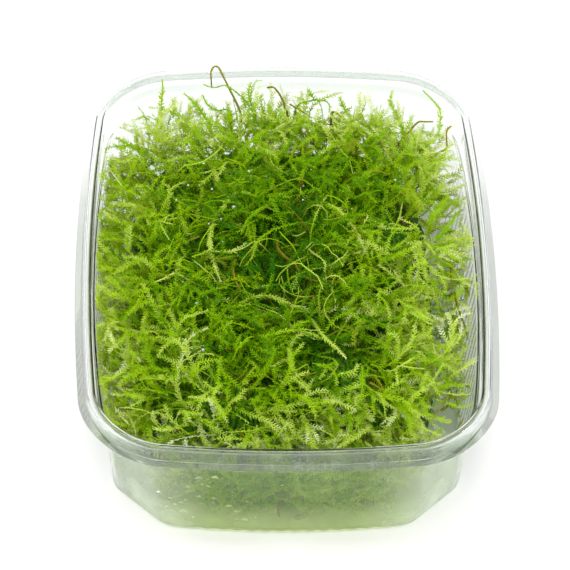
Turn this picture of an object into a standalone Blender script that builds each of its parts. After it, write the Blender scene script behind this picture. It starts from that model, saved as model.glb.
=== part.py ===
# A loose clump of aquarium moss filling a clear rectangular tub with ribbed walls.
# Units are metres, +Z up. The origin is under the middle of the tub, on the surface it stands on.
# X runs across the tub, Y along it, and the front of the tub faces -Y.

import math
import random

import bmesh
import bpy
from mathutils import Vector

MM = 0.001

# Tub: overall sizes in millimetres
TUB_HEIGHT = 29.2
TUB_SHEET = 0.45
RIM_INNER_HALF_X = 35.17
RIM_INNER_HALF_Y = 47.81
RIM_BOW_X = 2.69
RIM_BOW_Y = 2.95
RIM_CORNER_RADIUS = 11.35
RIM_CORNER_STEPS = 7
RIM_SIDE_STEPS = 6

# Rim: a rounded bead with a narrow lip standing out below it
BEAD_WIDTH = 1.6
BEAD_DROP = 2.95
LIP_WIDTH = 1.53
LIP_DROP = 3.13

# Body: straight chamfered corners and fine upright ribs, tapering to the base.
# Each section is half width, half length, chamfer across, chamfer along, side bow and end bow.
STEP_DROP = 5.54
LEDGE_FALL = 0.3
WALL_LEAN = 0.12
TOP_SECTION = (34.73, 47.37, 9.85, 9.16, 2.69, 2.95)
BASE_SECTION = (33.05, 45.7, 9.8, 9.6, 1.59, 1.59)
BASE_EDGE = 0.9
CHAMFER_GROWTH = 2.0 - math.sqrt(2.0)
RIB_PITCH = 2.78
RIB_DEPTH = 0.5
SIDE_RIBS = 23
END_RIBS = 13

# Moss clump: a cushion with a shallow hollow in the middle. It fills the tub at the left and the front, and
# stands clear of the back wall and a little clear of the right one.
CLUMP_LEFT = 35.0
CLUMP_RIGHT = 34.0
CLUMP_FRONT = 47.7
CLUMP_BACK = 43.0
CLUMP_SQUARENESS = 3.6
CLUMP_EDGE_Z = 14.0
CLUMP_RISE = 17.0
CLUMP_SHOULDER = 5.0
HOLLOW_DEPTH = 4.5
HOLLOW_CENTRE = (3.0, -13.0)
HOLLOW_REACH = (10.0, 19.0)
SWELL_HEIGHT = 0.9
SWELL_TURNS = (0.31, 0.27)
CLUMP_CELLS_X = 26
CLUMP_CELLS_Y = 34

# Rings below the clump's widest line: share of its plan, height, set-back of the front
CLUMP_UNDER = ((0.99, 9.0, 2.5), (0.95, 4.0, 5.5), (0.84, 0.8, 7.0))

# Tufts: share of the cells with one, lengths, and how they lean and keep off the edge and the shoots
TUFT_SHARE = 0.5
TUFT_LENGTH = (1.4, 3.6)
TUFT_RISE = 1.6
TUFT_LEAN = 0.6
TUFT_UPRIGHT_FROM = 0.85
TUFT_UPRIGHT_SHARE = 0.7
TUFT_LAST = 0.93
TUFT_CLEAR = 2.6
TUFT_SEED = 7

# Long shoots and bare stems: root radius, tip radius, finish and route in millimetres
SHOOTS = {
    "rim_hook_stem": (0.30, 0.18, "olive", (
        (-8.5, 36.8, 27.4), (-8.7, 38.3, 29.2), (-9.7, 43.0, 28.0), (-11.1, 46.5, 28.6),
        (-12.4, 49.6, 29.3), (-13.1, 50.8, 29.95), (-14.0, 50.9, 29.95), (-14.5, 50.0, 29.3),
        (-14.5, 49.0, 28.2), (-14.4, 48.4, 26.3))),
    "back_arch_shoot": (0.40, 0.25, "leafy", (
        (-5.9, 35.0, 29.2), (-6.0, 36.2, 30.7), (-8.2, 40.6, 31.0), (-10.5, 43.5, 30.8),
        (-11.9, 45.0, 30.3), (-13.5, 46.0, 28.8), (-15.0, 46.3, 28.7), (-16.1, 46.5, 29.2))),
    "back_left_shoot": (0.65, 0.30, "leafy", (
        (-14.6, 33.4, 28.2), (-15.0, 34.7, 29.9), (-16.2, 38.0, 28.8), (-17.4, 40.0, 29.2),
        (-18.6, 41.5, 29.5), (-20.1, 43.0, 29.9))),
    "back_left_curl": (0.50, 0.25, "leafy", (
        (-10.5, 33.1, 29.3), (-10.8, 34.4, 31.0), (-11.3, 37.6, 30.6), (-12.9, 38.5, 29.4),
        (-14.4, 39.7, 28.9), (-15.4, 41.0, 28.9), (-16.3, 42.0, 30.4))),
    "tall_left_tip": (0.65, 0.20, "leafy", (
        (-24.4, 34.4, 26.1), (-24.8, 35.2, 27.1), (-24.8, 36.0, 29.4), (-24.7, 37.0, 31.0),
        (-24.6, 38.0, 32.8), (-24.3, 38.6, 35.0), (-24.4, 39.0, 37.5))),
    "left_corner_shoot": (0.60, 0.25, "leafy", (
        (-26.1, 25.2, 27.7), (-26.4, 25.7, 28.5), (-28.2, 28.1, 27.6), (-30.5, 31.4, 26.0),
        (-32.2, 33.6, 25.4), (-33.8, 35.0, 25.1))),
    "back_mid_tip": (0.50, 0.30, "leafy", (
        (-5.5, 37.7, 27.4), (-5.6, 38.9, 28.8), (-6.6, 39.4, 31.0), (-7.0, 40.3, 31.9), (-6.9, 41.0, 33.3),
        (-6.4, 41.6, 34.3))),
    "brown_arch_stem": (0.30, 0.20, "brown", (
        (0.9, 37.0, 26.8), (0.9, 38.4, 28.5), (0.4, 38.0, 30.9), (-0.2, 39.5, 31.7), (-1.0, 40.5, 32.7),
        (-2.0, 41.2, 33.4), (-3.2, 42.0, 32.5))),
    "green_arch_stem": (0.40, 0.30, "leafy", (
        (2.4, 37.1, 26.6), (2.5, 38.8, 28.7), (3.2, 38.0, 31.6), (5.1, 39.0, 31.4), (6.9, 39.5, 31.4),
        (8.6, 39.5, 31.1), (9.5, 39.0, 30.2), (9.4, 37.9, 29.4))),
    "back_right_tip": (0.55, 0.30, "leafy", (
        (14.2, 34.4, 30.2), (12.6, 38.3, 29.9), (11.5, 40.0, 31.7))),
    "brown_back_chain": (0.30, 0.25, "brown", (
        (9.5, 34.3, 28.4), (9.9, 36.3, 30.9), (11.5, 34.8, 31.5), (12.8, 32.9, 31.7), (14.2, 31.5, 31.5),
        (16.2, 29.8, 30.9))),
    "tall_right_tip": (0.50, 0.25, "leafy", (
        (23.9, 32.1, 25.9), (24.5, 33.2, 27.4), (23.5, 36.0, 28.9), (22.5, 38.0, 30.0), (21.8, 39.3, 31.3),
        (22.2, 40.5, 33.0))),
    "corner_shoot": (0.45, 0.25, "leafy", (
        (26.9, 27.6, 26.8), (27.3, 28.2, 27.8), (29.1, 29.2, 28.7), (30.7, 30.0, 29.5), (31.4, 31.5, 30.7),
        (31.5, 33.0, 32.3), (31.5, 34.5, 33.4), (30.2, 36.0, 34.5), (28.1, 38.0, 35.6))),
    "corner_cross_stem": (0.30, 0.20, "brown", (
        (23.2, 29.9, 27.7), (23.5, 30.4, 28.5), (25.4, 32.4, 29.3), (27.2, 33.5, 30.9), (28.8, 33.0, 31.5),
        (30.1, 32.2, 32.3))),
    "dark_right_stem": (0.28, 0.20, "brown", (
        (26.6, 22.6, 28.9), (28.4, 23.3, 29.5), (30.7, 25.4, 30.1), (32.5, 26.2, 30.6),
        (32.6, 28.0, 31.6), (32.7, 29.2, 32.7), (33.6, 29.8, 33.5))),
    "right_reach_shoot": (0.60, 0.25, "leafy", (
        (27.8, 7.0, 28.3), (28.4, 7.2, 29.6), (30.7, 11.6, 28.8), (32.3, 14.7, 28.2))),
    "right_low_shoot": (0.55, 0.25, "leafy", (
        (29.3, 3.3, 27.4), (29.9, 3.4, 28.6), (32.4, 8.0, 27.6), (34.0, 11.8, 26.4), (35.0, 13.5, 25.8))),
    "right_brown_stem": (0.28, 0.22, "brown", (
        (31.0, 3.5, 24.8), (31.9, 3.6, 26.6), (32.2, 1.3, 26.0), (32.4, -1.2, 25.0), (32.2, -3.6, 24.8))),
    "right_dark_shoot": (0.35, 0.20, "brown", (
        (31.5, -9.3, 24.5), (32.4, -9.3, 26.2), (33.4, -12.8, 25.2), (34.1, -15.6, 24.9),
        (34.5, -18.2, 25.2), (34.7, -20.5, 25.4))),
    "front_loop_shoot": (0.45, 0.30, "pale", (
        (4.0, -35.9, 28.8), (2.3, -33.9, 28.9), (1.0, -32.0, 29.5), (0.2, -29.7, 30.4),
        (0.4, -26.8, 30.8), (1.9, -24.2, 30.5), (4.0, -22.7, 29.7), (5.7, -23.2, 29.0))),
    "front_cross_shoot": (0.40, 0.28, "pale", (
        (4.6, -17.4, 27.9), (5.9, -23.0, 30.8), (7.3, -25.7, 31.0), (9.1, -27.0, 30.2),
        (10.9, -29.6, 30.1))),
    "left_arc_shoot": (0.50, 0.35, "pale", (
        (-8.9, 12.8, 32.7), (-11.1, 9.5, 33.0), (-13.0, 6.2, 32.8), (-14.4, 2.5, 32.7),
        (-14.8, -1.3, 32.7), (-14.4, -5.0, 32.4), (-13.6, -8.6, 32.2), (-12.7, -11.7, 32.1))),
    "centre_arc_shoot": (0.40, 0.30, "leafy", (
        (-8.8, 1.7, 31.3), (-7.6, 4.4, 32.3), (-5.6, 6.8, 32.6), (-3.4, 8.8, 32.1),
        (-0.8, 9.9, 30.9))),
    "mid_arc_shoot": (0.45, 0.30, "leafy", (
        (6.0, 4.8, 30.7), (3.4, 5.5, 30.8), (0.7, 4.4, 31.3), (-2.1, 2.9, 31.6),
        (-4.5, 1.2, 31.4), (-6.0, -0.7, 31.0), (-6.5, -3.4, 30.8), (-7.8, -6.1, 30.8))),
    "red_brown_stem": (0.32, 0.28, "brown", (
        (-1.6, 1.2, 30.3), (-1.6, -1.2, 30.5), (-0.2, -3.2, 30.1), (1.7, -4.4, 29.4),
        (3.0, -6.6, 28.7), (5.3, -8.2, 28.7), (8.5, -9.5, 29.8), (12.5, -11.0, 31.2))),
    "short_brown_stem": (0.40, 0.30, "brown", (
        (-9.8, -4.9, 31.2), (-10.3, -8.6, 32.1), (-9.9, -11.6, 32.4), (-8.9, -13.8, 31.9))),
    "right_diag_shoot": (0.38, 0.28, "pale", (
        (8.2, 9.6, 31.9), (10.3, 7.4, 32.4), (12.0, 4.9, 32.2), (13.5, 2.2, 31.8),
        (14.7, -1.2, 31.7), (15.8, -4.2, 31.4))),
    "mid_cross_shoot": (0.38, 0.28, "pale", (
        (-3.8, -12.7, 29.3), (-1.3, -12.9, 28.4), (1.0, -13.9, 27.9), (3.5, -14.3, 27.7))),
    "pale_club_shoot": (0.45, 0.55, "pale", (
        (2.5, -7.4, 30.1), (1.8, -9.0, 29.6), (1.0, -10.6, 28.7))),
    "front_left_shoot": (0.50, 0.45, "pale", (
        (-18.9, -37.2, 27.8), (-16.7, -38.1, 28.5), (-14.4, -39.0, 28.9), (-13.1, -40.6, 28.4),
        (-11.6, -42.4, 26.7))),
    "front_right_curve": (0.38, 0.28, "leafy", (
        (13.8, -31.8, 30.5), (13.8, -35.2, 30.7), (13.6, -38.0, 29.9), (12.8, -40.3, 28.6),
        (11.0, -41.7, 27.2))),
    "left_wave_shoot": (0.38, 0.28, "pale", (
        (-25.4, -10.5, 30.7), (-23.6, -10.0, 31.3), (-21.7, -9.1, 31.7), (-19.8, -10.1, 31.8),
        (-18.1, -11.3, 31.6), (-16.3, -12.3, 31.5))),
    "fallen_front_stem": (0.25, 0.20, "brown", (
        (-1.5, -44.2, 1.1), (-1.7, -45.6, 4.5), (-1.8, -46.3, 8.5))),
}
SHOOT_CURVE_STEPS = 2

# Loose scraps on the tub's floor: centre, turn about Z in degrees and half sizes in millimetres
SCRAPS = {
    "floor_scrap_large": ((2.6, -44.1), 20.0, (1.5, 0.75, 0.5)),
    "floor_scrap_small": ((19.4, -42.8), 28.0, (0.85, 0.4, 0.35)),
    "floor_scrap_brown": ((16.6, -40.0), -50.0, (0.6, 0.35, 0.3)),
}
SCRAP_GAP = 0.3

PET_IOR = 1.57
COLOURS = {
    "pet": ((0.86, 0.90, 0.87), 0.05),
    "moss": ((0.19, 0.34, 0.03), 0.6),
    "leafy": ((0.30, 0.48, 0.06), 0.6),
    "pale": ((0.46, 0.57, 0.14), 0.6),
    "olive": ((0.30, 0.27, 0.06), 0.6),
    "brown": ((0.22, 0.13, 0.03), 0.6),
}


def empty_scene():
    for old in list(bpy.data.objects):
        bpy.data.objects.remove(old, do_unlink=True)


def make_material(name, clear=False):
    colour, roughness = COLOURS[name]
    material = bpy.data.materials.new(name)
    material.use_nodes = True
    shader = material.node_tree.nodes["Principled BSDF"]
    shader.inputs["Base Color"].default_value = (*colour, 1.0)
    shader.inputs["Roughness"].default_value = roughness
    shader.inputs["Metallic"].default_value = 0.0
    if clear:
        shader.inputs["Transmission Weight"].default_value = 1.0
        shader.inputs["IOR"].default_value = PET_IOR
    material.diffuse_color = (*colour, 1.0)
    return material


def add_object(name, data, material, collection):
    thing = bpy.data.objects.new(name, data)
    data.materials.append(material)
    collection.objects.link(thing)
    return thing


def bow(position, half, amount):
    """Outward bulge of a side, greatest at its middle."""
    return amount * (1.0 - min(1.0, abs(position) / half) ** 2)


def rim_outline(offset):
    """Rounded rectangle with bulging sides, grown by offset, as a list of x, y points."""
    half_x = RIM_INNER_HALF_X + offset
    half_y = RIM_INNER_HALF_Y + offset
    radius = RIM_CORNER_RADIUS + offset
    points = []
    for corner, (sign_x, sign_y) in enumerate(((1, 1), (-1, 1), (-1, -1), (1, -1))):
        centre = (sign_x * (half_x - radius), sign_y * (half_y - radius))
        for step in range(RIM_CORNER_STEPS + 1):
            angle = math.radians(90.0 * corner + 90.0 * step / RIM_CORNER_STEPS)
            points.append((centre[0] + radius * math.cos(angle), centre[1] + radius * math.sin(angle)))
        start = points[-1]
        next_x, next_y = ((-1, 1), (-1, -1), (1, -1), (1, 1))[corner]
        turn = math.radians(90.0 * (corner + 1))
        end = (next_x * (half_x - radius) + radius * math.cos(turn),
               next_y * (half_y - radius) + radius * math.sin(turn))
        for step in range(1, RIM_SIDE_STEPS):
            part = step / RIM_SIDE_STEPS
            points.append((start[0] + (end[0] - start[0]) * part, start[1] + (end[1] - start[1]) * part))
    shaped = []
    for x, y in points:
        shaped.append((x * (1.0 + bow(y, half_y, RIM_BOW_X) / half_x),
                       y * (1.0 + bow(x, half_x, RIM_BOW_Y) / half_y)))
    return shaped


def ribbed_stations(half_length, ribs):
    """Stations along one wall panel, each with how far the wall stands in there."""
    stations = [(-half_length, 0.0)]
    first = -RIB_PITCH * ribs / 2
    for index in range(2 * ribs + 1):
        stations.append((first + index * RIB_PITCH / 2, RIB_DEPTH if index % 2 else 0.0))
    return stations


def plain_stations(half_length):
    return [(-half_length + 2 * half_length * step / RIM_SIDE_STEPS, 0.0) for step in range(RIM_SIDE_STEPS)]


def body_outline(section, grown, ribbed):
    """Eight-sided outline of a body section, grown by so many millimetres all round."""
    half_x, half_y, chamfer_x, chamfer_y, bow_x, bow_y = section
    half_x, half_y = half_x + grown, half_y + grown
    straight_x = half_x - chamfer_x - grown * CHAMFER_GROWTH
    straight_y = half_y - chamfer_y - grown * CHAMFER_GROWTH
    side = ribbed_stations(straight_y, SIDE_RIBS) if ribbed else plain_stations(straight_y)
    end = ribbed_stations(straight_x, END_RIBS) if ribbed else plain_stations(straight_x)
    points = []
    for along, inset in side:
        points.append((half_x + bow(along, straight_y, bow_x) - inset, along))
    points.append((half_x, straight_y))
    for along, inset in end:
        points.append((-along, half_y + bow(along, straight_x, bow_y) - inset))
    points.append((-straight_x, half_y))
    for along, inset in side:
        points.append((-half_x - bow(along, straight_y, bow_x) + inset, -along))
    points.append((-half_x, -straight_y))
    for along, inset in end:
        points.append((along, -half_y - bow(along, straight_x, bow_y) + inset))
    points.append((straight_x, -half_y))
    return points


def add_ring(mesh, outline, height):
    return [mesh.verts.new((x * MM, y * MM, height * MM)) for x, y in outline]


def turn_of(vertex):
    """Place of a point around the tub, from 0 to 1, starting at +X."""
    angle = math.atan2(vertex.co.y / BASE_SECTION[1], vertex.co.x / BASE_SECTION[0])
    return (angle / (2 * math.pi)) % 1.0


def in_turn_order(ring):
    start = min(range(len(ring)), key=lambda index: turn_of(ring[index]))
    return ring[start:] + ring[:start]


def join_rings(mesh, first, second):
    """Skin between two closed rings, which may have unlike numbers of points."""
    if len(first) == len(second):
        for index in range(len(first)):
            after = (index + 1) % len(first)
            mesh.faces.new((first[index], first[after], second[after], second[index]))
        return
    first, second = in_turn_order(first), in_turn_order(second)
    one, two = 0, 0
    while one < len(first) or two < len(second):
        one_next = turn_of(first[one + 1]) if one + 1 < len(first) else 1.0 + turn_of(first[0])
        two_next = turn_of(second[two + 1]) if two + 1 < len(second) else 1.0 + turn_of(second[0])
        near = first[one % len(first)]
        far = second[two % len(second)]
        if two >= len(second) or (one < len(first) and one_next <= two_next):
            mesh.faces.new((near, first[(one + 1) % len(first)], far))
            one += 1
        else:
            mesh.faces.new((near, second[(two + 1) % len(second)], far))
            two += 1


def make_tub(collection):
    """One formed sheet: floor, ribbed walls, ledge, bead and lip, lofted inside and out."""
    mesh = bmesh.new()
    middle = BEAD_WIDTH / 2
    crown = middle * math.sqrt(0.5)
    inner_crown = (middle - TUB_SHEET) * math.sqrt(0.5)
    inside_rim = (
        (-WALL_LEAN, STEP_DROP - LEDGE_FALL),
        (0.0, middle),
        (middle - crown, middle - crown),
        (middle, 0.0),
        (middle + crown, middle - crown),
        (BEAD_WIDTH, middle),
        (BEAD_WIDTH + WALL_LEAN, BEAD_DROP),
        (BEAD_WIDTH + LIP_WIDTH, LIP_DROP),
    )
    outside_rim = (
        (BEAD_WIDTH + LIP_WIDTH, LIP_DROP + TUB_SHEET),
        (BEAD_WIDTH + WALL_LEAN - TUB_SHEET, BEAD_DROP + TUB_SHEET),
        (BEAD_WIDTH - TUB_SHEET, middle),
        (middle + inner_crown, middle - inner_crown),
        (middle, TUB_SHEET),
        (middle - inner_crown, middle - inner_crown),
        (TUB_SHEET, middle),
        (TUB_SHEET - WALL_LEAN, STEP_DROP),
    )
    rings = [
        add_ring(mesh, body_outline(BASE_SECTION, -BASE_EDGE, False), TUB_SHEET),
        add_ring(mesh, body_outline(BASE_SECTION, 0.0, True), TUB_SHEET + BASE_EDGE),
        add_ring(mesh, body_outline(TOP_SECTION, 0.0, True), TUB_HEIGHT - STEP_DROP),
    ]
    rings += [add_ring(mesh, rim_outline(offset), TUB_HEIGHT - drop) for offset, drop in inside_rim]
    rings += [add_ring(mesh, rim_outline(offset), TUB_HEIGHT - drop) for offset, drop in outside_rim]
    rings += [
        add_ring(mesh, body_outline(TOP_SECTION, TUB_SHEET, True), TUB_HEIGHT - STEP_DROP - LEDGE_FALL),
        add_ring(mesh, body_outline(BASE_SECTION, TUB_SHEET, True), BASE_EDGE),
        add_ring(mesh, body_outline(BASE_SECTION, TUB_SHEET - BASE_EDGE, False), 0.0),
    ]
    for first, second in zip(rings[:-1], rings[1:]):
        join_rings(mesh, first, second)
    mesh.faces.new(rings[0])
    mesh.faces.new(rings[-1])
    bmesh.ops.recalc_face_normals(mesh, faces=mesh.faces[:])
    data = bpy.data.meshes.new("tub")
    mesh.to_mesh(data)
    mesh.free()
    return add_object("tub", data, make_material("pet", clear=True), collection)


def plan_reach(u, v):
    """How far out a point is in the clump's rounded plan: 0 in the middle, 1 on its edge."""
    return (abs(u) ** CLUMP_SQUARENESS + abs(v) ** CLUMP_SQUARENESS) ** (1 / CLUMP_SQUARENESS)


def clump_halves(x, y):
    """How far the clump reaches across and along on this side of the middle."""
    return CLUMP_RIGHT if x > 0.0 else CLUMP_LEFT, CLUMP_BACK if y > 0.0 else CLUMP_FRONT


def clump_top(x, y):
    """Height of the clump's upper surface in millimetres."""
    half_x, half_y = clump_halves(x, y)
    reach = plan_reach(x / half_x, y / half_y)
    height = CLUMP_EDGE_Z + CLUMP_RISE * math.sqrt(max(0.0, 1.0 - reach ** CLUMP_SHOULDER))
    away_x = (x - HOLLOW_CENTRE[0]) / HOLLOW_REACH[0]
    away_y = (y - HOLLOW_CENTRE[1]) / HOLLOW_REACH[1]
    height -= HOLLOW_DEPTH * math.exp(-away_x ** 2 - away_y ** 2)
    return height + SWELL_HEIGHT * math.sin(x * SWELL_TURNS[0]) * math.cos(y * SWELL_TURNS[1])


def smooth_route(points):
    """Points on a smooth curve through the route's own points."""
    route = [Vector(point) for point in points]
    padded = [2 * route[0] - route[1]] + route + [2 * route[-1] - route[-2]]
    smooth = []
    for index in range(1, len(padded) - 2):
        a, b, c, d = padded[index - 1:index + 3]
        for step in range(SHOOT_CURVE_STEPS):
            t = step / SHOOT_CURVE_STEPS
            smooth.append(0.5 * (2 * b + (c - a) * t + (2 * a - 5 * b + 4 * c - d) * t ** 2
                                 + (3 * b - a - 3 * c + d) * t ** 3))
    smooth.append(route[-1])
    return smooth


def near_a_shoot(x, y):
    for _root, _tip, _finish, route in SHOOTS.values():
        for point in smooth_route(route):
            if math.hypot(point.x - x, point.y - y) < TUFT_CLEAR:
                return True
    return False


def make_clump(collection):
    """A cushion with a rounded plan, its top set with pointed tufts."""
    chance = random.Random(TUFT_SEED)
    mesh = bmesh.new()
    bmesh.ops.create_grid(mesh, x_segments=CLUMP_CELLS_X, y_segments=CLUMP_CELLS_Y, size=1.0)
    for vertex in mesh.verts:
        u, v = vertex.co.x, vertex.co.y
        rounding = max(abs(u), abs(v)) / max(plan_reach(u, v), MM)
        half_x, half_y = clump_halves(u, v)
        x, y = half_x * u * rounding, half_y * v * rounding
        vertex.co = Vector((x, y, clump_top(x, y))) * MM
    top_faces = mesh.faces[:]
    edge = [line for line in mesh.edges if line.is_boundary]
    for scale, height, front_set_back in CLUMP_UNDER:
        grown = bmesh.ops.extrude_edge_only(mesh, edges=edge)["geom"]
        edge = [item for item in grown if isinstance(item, bmesh.types.BMEdge) and item.is_boundary]
        for vertex in {corner for line in edge for corner in line.verts}:
            x, y = vertex.co.x / MM, vertex.co.y / MM
            half_x, half_y = clump_halves(x, y)
            growth = scale / plan_reach(x / half_x, y / half_y)
            set_back = front_set_back * max(0.0, -y / half_y * growth)
            vertex.co = Vector((x * growth, y * growth + set_back, height)) * MM
    bmesh.ops.contextual_create(mesh, geom=edge)
    bmesh.ops.recalc_face_normals(mesh, faces=mesh.faces[:])
    for face in top_faces:
        centre = face.calc_center_median() / MM
        half_x, half_y = clump_halves(centre.x, centre.y)
        reach = plan_reach(centre.x / half_x, centre.y / half_y)
        length = chance.uniform(*TUFT_LENGTH)
        lean = Vector((chance.uniform(-1, 1), chance.uniform(-1, 1), 0.0))
        if chance.random() > TUFT_SHARE or reach > TUFT_LAST or near_a_shoot(centre.x, centre.y):
            continue
        tip = bmesh.ops.poke(mesh, faces=[face])["verts"][0]
        if reach > TUFT_UPRIGHT_FROM:
            tip.co.z += length * TUFT_UPRIGHT_SHARE * MM
        else:
            outward = Vector((centre.x / half_x, centre.y / half_y, TUFT_RISE))
            tip.co += (outward + lean * TUFT_LEAN).normalized() * length * MM
    data = bpy.data.meshes.new("moss_clump")
    mesh.to_mesh(data)
    mesh.free()
    return add_object("moss_clump", data, make_material("moss"), collection)


def make_shoot(name, collection, materials):
    root_radius, tip_radius, finish, points = SHOOTS[name]
    route = smooth_route(points)
    curve = bpy.data.curves.new(name, "CURVE")
    curve.dimensions = "3D"
    curve.bevel_depth = MM
    curve.bevel_resolution = 0
    curve.use_fill_caps = True
    spline = curve.splines.new("POLY")
    spline.points.add(len(route) - 1)
    for index, (target, place) in enumerate(zip(spline.points, route)):
        part = index / (len(route) - 1)
        target.co = (*(place * MM), 1.0)
        target.radius = root_radius + (tip_radius - root_radius) * part
    return add_object(name, curve, materials[finish], collection)


def make_scrap(name, collection, material):
    (x, y), turn, half_sizes = SCRAPS[name]
    mesh = bmesh.new()
    bmesh.ops.create_uvsphere(mesh, u_segments=8, v_segments=5, radius=1.0)
    for vertex in mesh.verts:
        vertex.co = Vector((vertex.co.x * half_sizes[0], vertex.co.y * half_sizes[1],
                            vertex.co.z * half_sizes[2])) * MM
    data = bpy.data.meshes.new(name)
    mesh.to_mesh(data)
    mesh.free()
    scrap = add_object(name, data, material, collection)
    scrap.location = Vector((x, y, TUB_SHEET + SCRAP_GAP + half_sizes[2])) * MM
    scrap.rotation_euler = (0.0, 0.0, math.radians(turn))
    return scrap


def main():
    empty_scene()
    collection = bpy.data.collections.new("moss_tub")
    bpy.context.scene.collection.children.link(collection)
    make_tub(collection)
    make_clump(collection)
    materials = {name: make_material(name) for name in ("leafy", "pale", "olive", "brown")}
    for name in SHOOTS:
        make_shoot(name, collection, materials)
    for name in SCRAPS:
        make_scrap(name, collection, materials["brown" if "brown" in name else "leafy"])


main()
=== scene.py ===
import math
import random

import bmesh
import bpy
import numpy as np
from mathutils import Matrix, Vector, noise


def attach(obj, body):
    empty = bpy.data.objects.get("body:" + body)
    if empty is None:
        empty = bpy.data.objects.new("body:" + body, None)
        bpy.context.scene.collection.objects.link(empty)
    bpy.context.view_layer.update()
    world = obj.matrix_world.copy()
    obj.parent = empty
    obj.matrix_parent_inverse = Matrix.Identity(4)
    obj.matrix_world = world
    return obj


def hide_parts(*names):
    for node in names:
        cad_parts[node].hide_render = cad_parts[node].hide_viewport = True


# A loose clump of creeping moss in a clear formed tub. Sizes are in millimetres unless a line says otherwise.
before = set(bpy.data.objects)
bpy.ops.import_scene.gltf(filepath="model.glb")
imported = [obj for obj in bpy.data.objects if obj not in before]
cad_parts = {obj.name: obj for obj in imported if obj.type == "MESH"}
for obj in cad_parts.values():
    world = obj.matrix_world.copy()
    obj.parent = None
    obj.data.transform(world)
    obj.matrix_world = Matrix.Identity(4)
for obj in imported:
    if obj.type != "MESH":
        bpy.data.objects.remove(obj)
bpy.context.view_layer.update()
mm = 0.001
sharpAngle = math.radians(50.0)                          # edges sharper than this don't shade smoothly


def linear(hexColour):
    channels = [int(hexColour[i:i + 2], 16) / 255.0 for i in (1, 3, 5)]
    return [c / 12.92 if c <= 0.04045 else ((c + 0.055) / 1.055) ** 2.4 for c in channels] + [1.0]


def addNode(tree, kind, inputs=None, **settings):
    node = tree.nodes.new(kind)
    for name, value in settings.items():
        setattr(node, name, value)
    for key, value in (inputs or {}).items():
        if isinstance(value, bpy.types.NodeSocket):
            tree.links.new(value, node.inputs[key])
        else:
            node.inputs[key].default_value = value
    return node


def newMaterial(name):
    material = bpy.data.materials.new(name)
    material.use_nodes = True
    material.node_tree.nodes.clear()
    return material, material.node_tree


def newPiece(name, mesh, material, slotName, *stoodFor):
    piece = bpy.data.objects.new(name, mesh)
    bpy.context.scene.collection.objects.link(piece)
    if not mesh.materials:
        mesh.materials.append(material)
    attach(piece, "root")
    if stoodFor:
        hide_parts(*stoodFor)
    return piece


def faceOutwards(mesh):
    work = bmesh.new()
    work.from_mesh(mesh)
    bmesh.ops.recalc_face_normals(work, faces=work.faces[:])
    work.to_mesh(mesh)
    work.free()


def smoothMesh(work, name):
    mesh = bpy.data.meshes.new(name)
    work.to_mesh(mesh)
    work.free()
    mesh.shade_smooth()
    return mesh


def smoothStep(low, high, value):
    t = min(1.0, max(0.0, (value - low) / (high - low)))
    return t * t * (3.0 - 2.0 * t)


# Camera, floor and light

studio = {
    "elevation": 46.93, "yaw": 1.90, "roll": -1.34,      # degrees, as the photo was taken
    "focalPixels": 3266.43, "frameWidth": 570.0,
    "distance": 630.17, "aimAcross": -0.002, "aimAlong": -9.797, "aimHeight": 29.2,
    "floorColour": "#ebebea", "worldColour": "#ffffff", "worldStrength": 1.0,
    "keyPower": 3.4, "keySize": 560.0, "keyPlace": (-60.0, 20.0, 760.0),
    "sidePower": 0.9, "sideSize": 80.0, "sidePlaces": ((-520.0, -80.0, 420.0), (520.0, -80.0, 420.0)),
    "frontPower": 4.0, "frontSize": 700.0, "frontPlace": (0.0, -850.0, 300.0),
    "aim": (0.0, 0.0, 20.0), "floorHalf": 3000.0, "floorDrop": 0.05,
}


def aimCamera():
    e, yaw, roll = (math.radians(studio[key]) for key in ("elevation", "yaw", "roll"))
    c, s = math.cos(yaw), math.sin(yaw)
    target = Vector((studio["aimAcross"] * c + studio["aimAlong"] * s,
                     -studio["aimAcross"] * s + studio["aimAlong"] * c, studio["aimHeight"])) * mm
    forward = Vector((math.cos(e) * s, math.cos(e) * c, -math.sin(e)))
    right = Vector((c, -s, 0.0))
    up = Vector((math.sin(e) * s, math.sin(e) * c, math.cos(e)))
    across = right * math.cos(roll) - up * math.sin(roll)
    upward = right * math.sin(roll) + up * math.cos(roll)
    data = bpy.data.cameras.new("camera")
    data.sensor_width = 36.0
    data.lens = studio["focalPixels"] / studio["frameWidth"] * data.sensor_width
    data.clip_start, data.clip_end = 0.01, 20.0          # metres
    camera = bpy.data.objects.new("camera", data)
    place = target - forward * studio["distance"] * mm
    turn = Matrix((across, upward, -forward)).transposed().to_4x4()
    camera.matrix_world = Matrix.Translation(place) @ turn
    bpy.context.scene.collection.objects.link(camera)
    bpy.context.scene.camera = camera


def addSoftbox(name, place, size, power):
    data = bpy.data.lights.new(name, "AREA")
    data.shape = "SQUARE"
    data.size = size * mm
    data.energy = power
    lamp = bpy.data.objects.new(name, data)
    lamp.location = Vector(place) * mm
    lamp.rotation_euler = ((Vector(studio["aim"]) - Vector(place)) * mm).to_track_quat("-Z", "Y").to_euler()
    bpy.context.scene.collection.objects.link(lamp)


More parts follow.
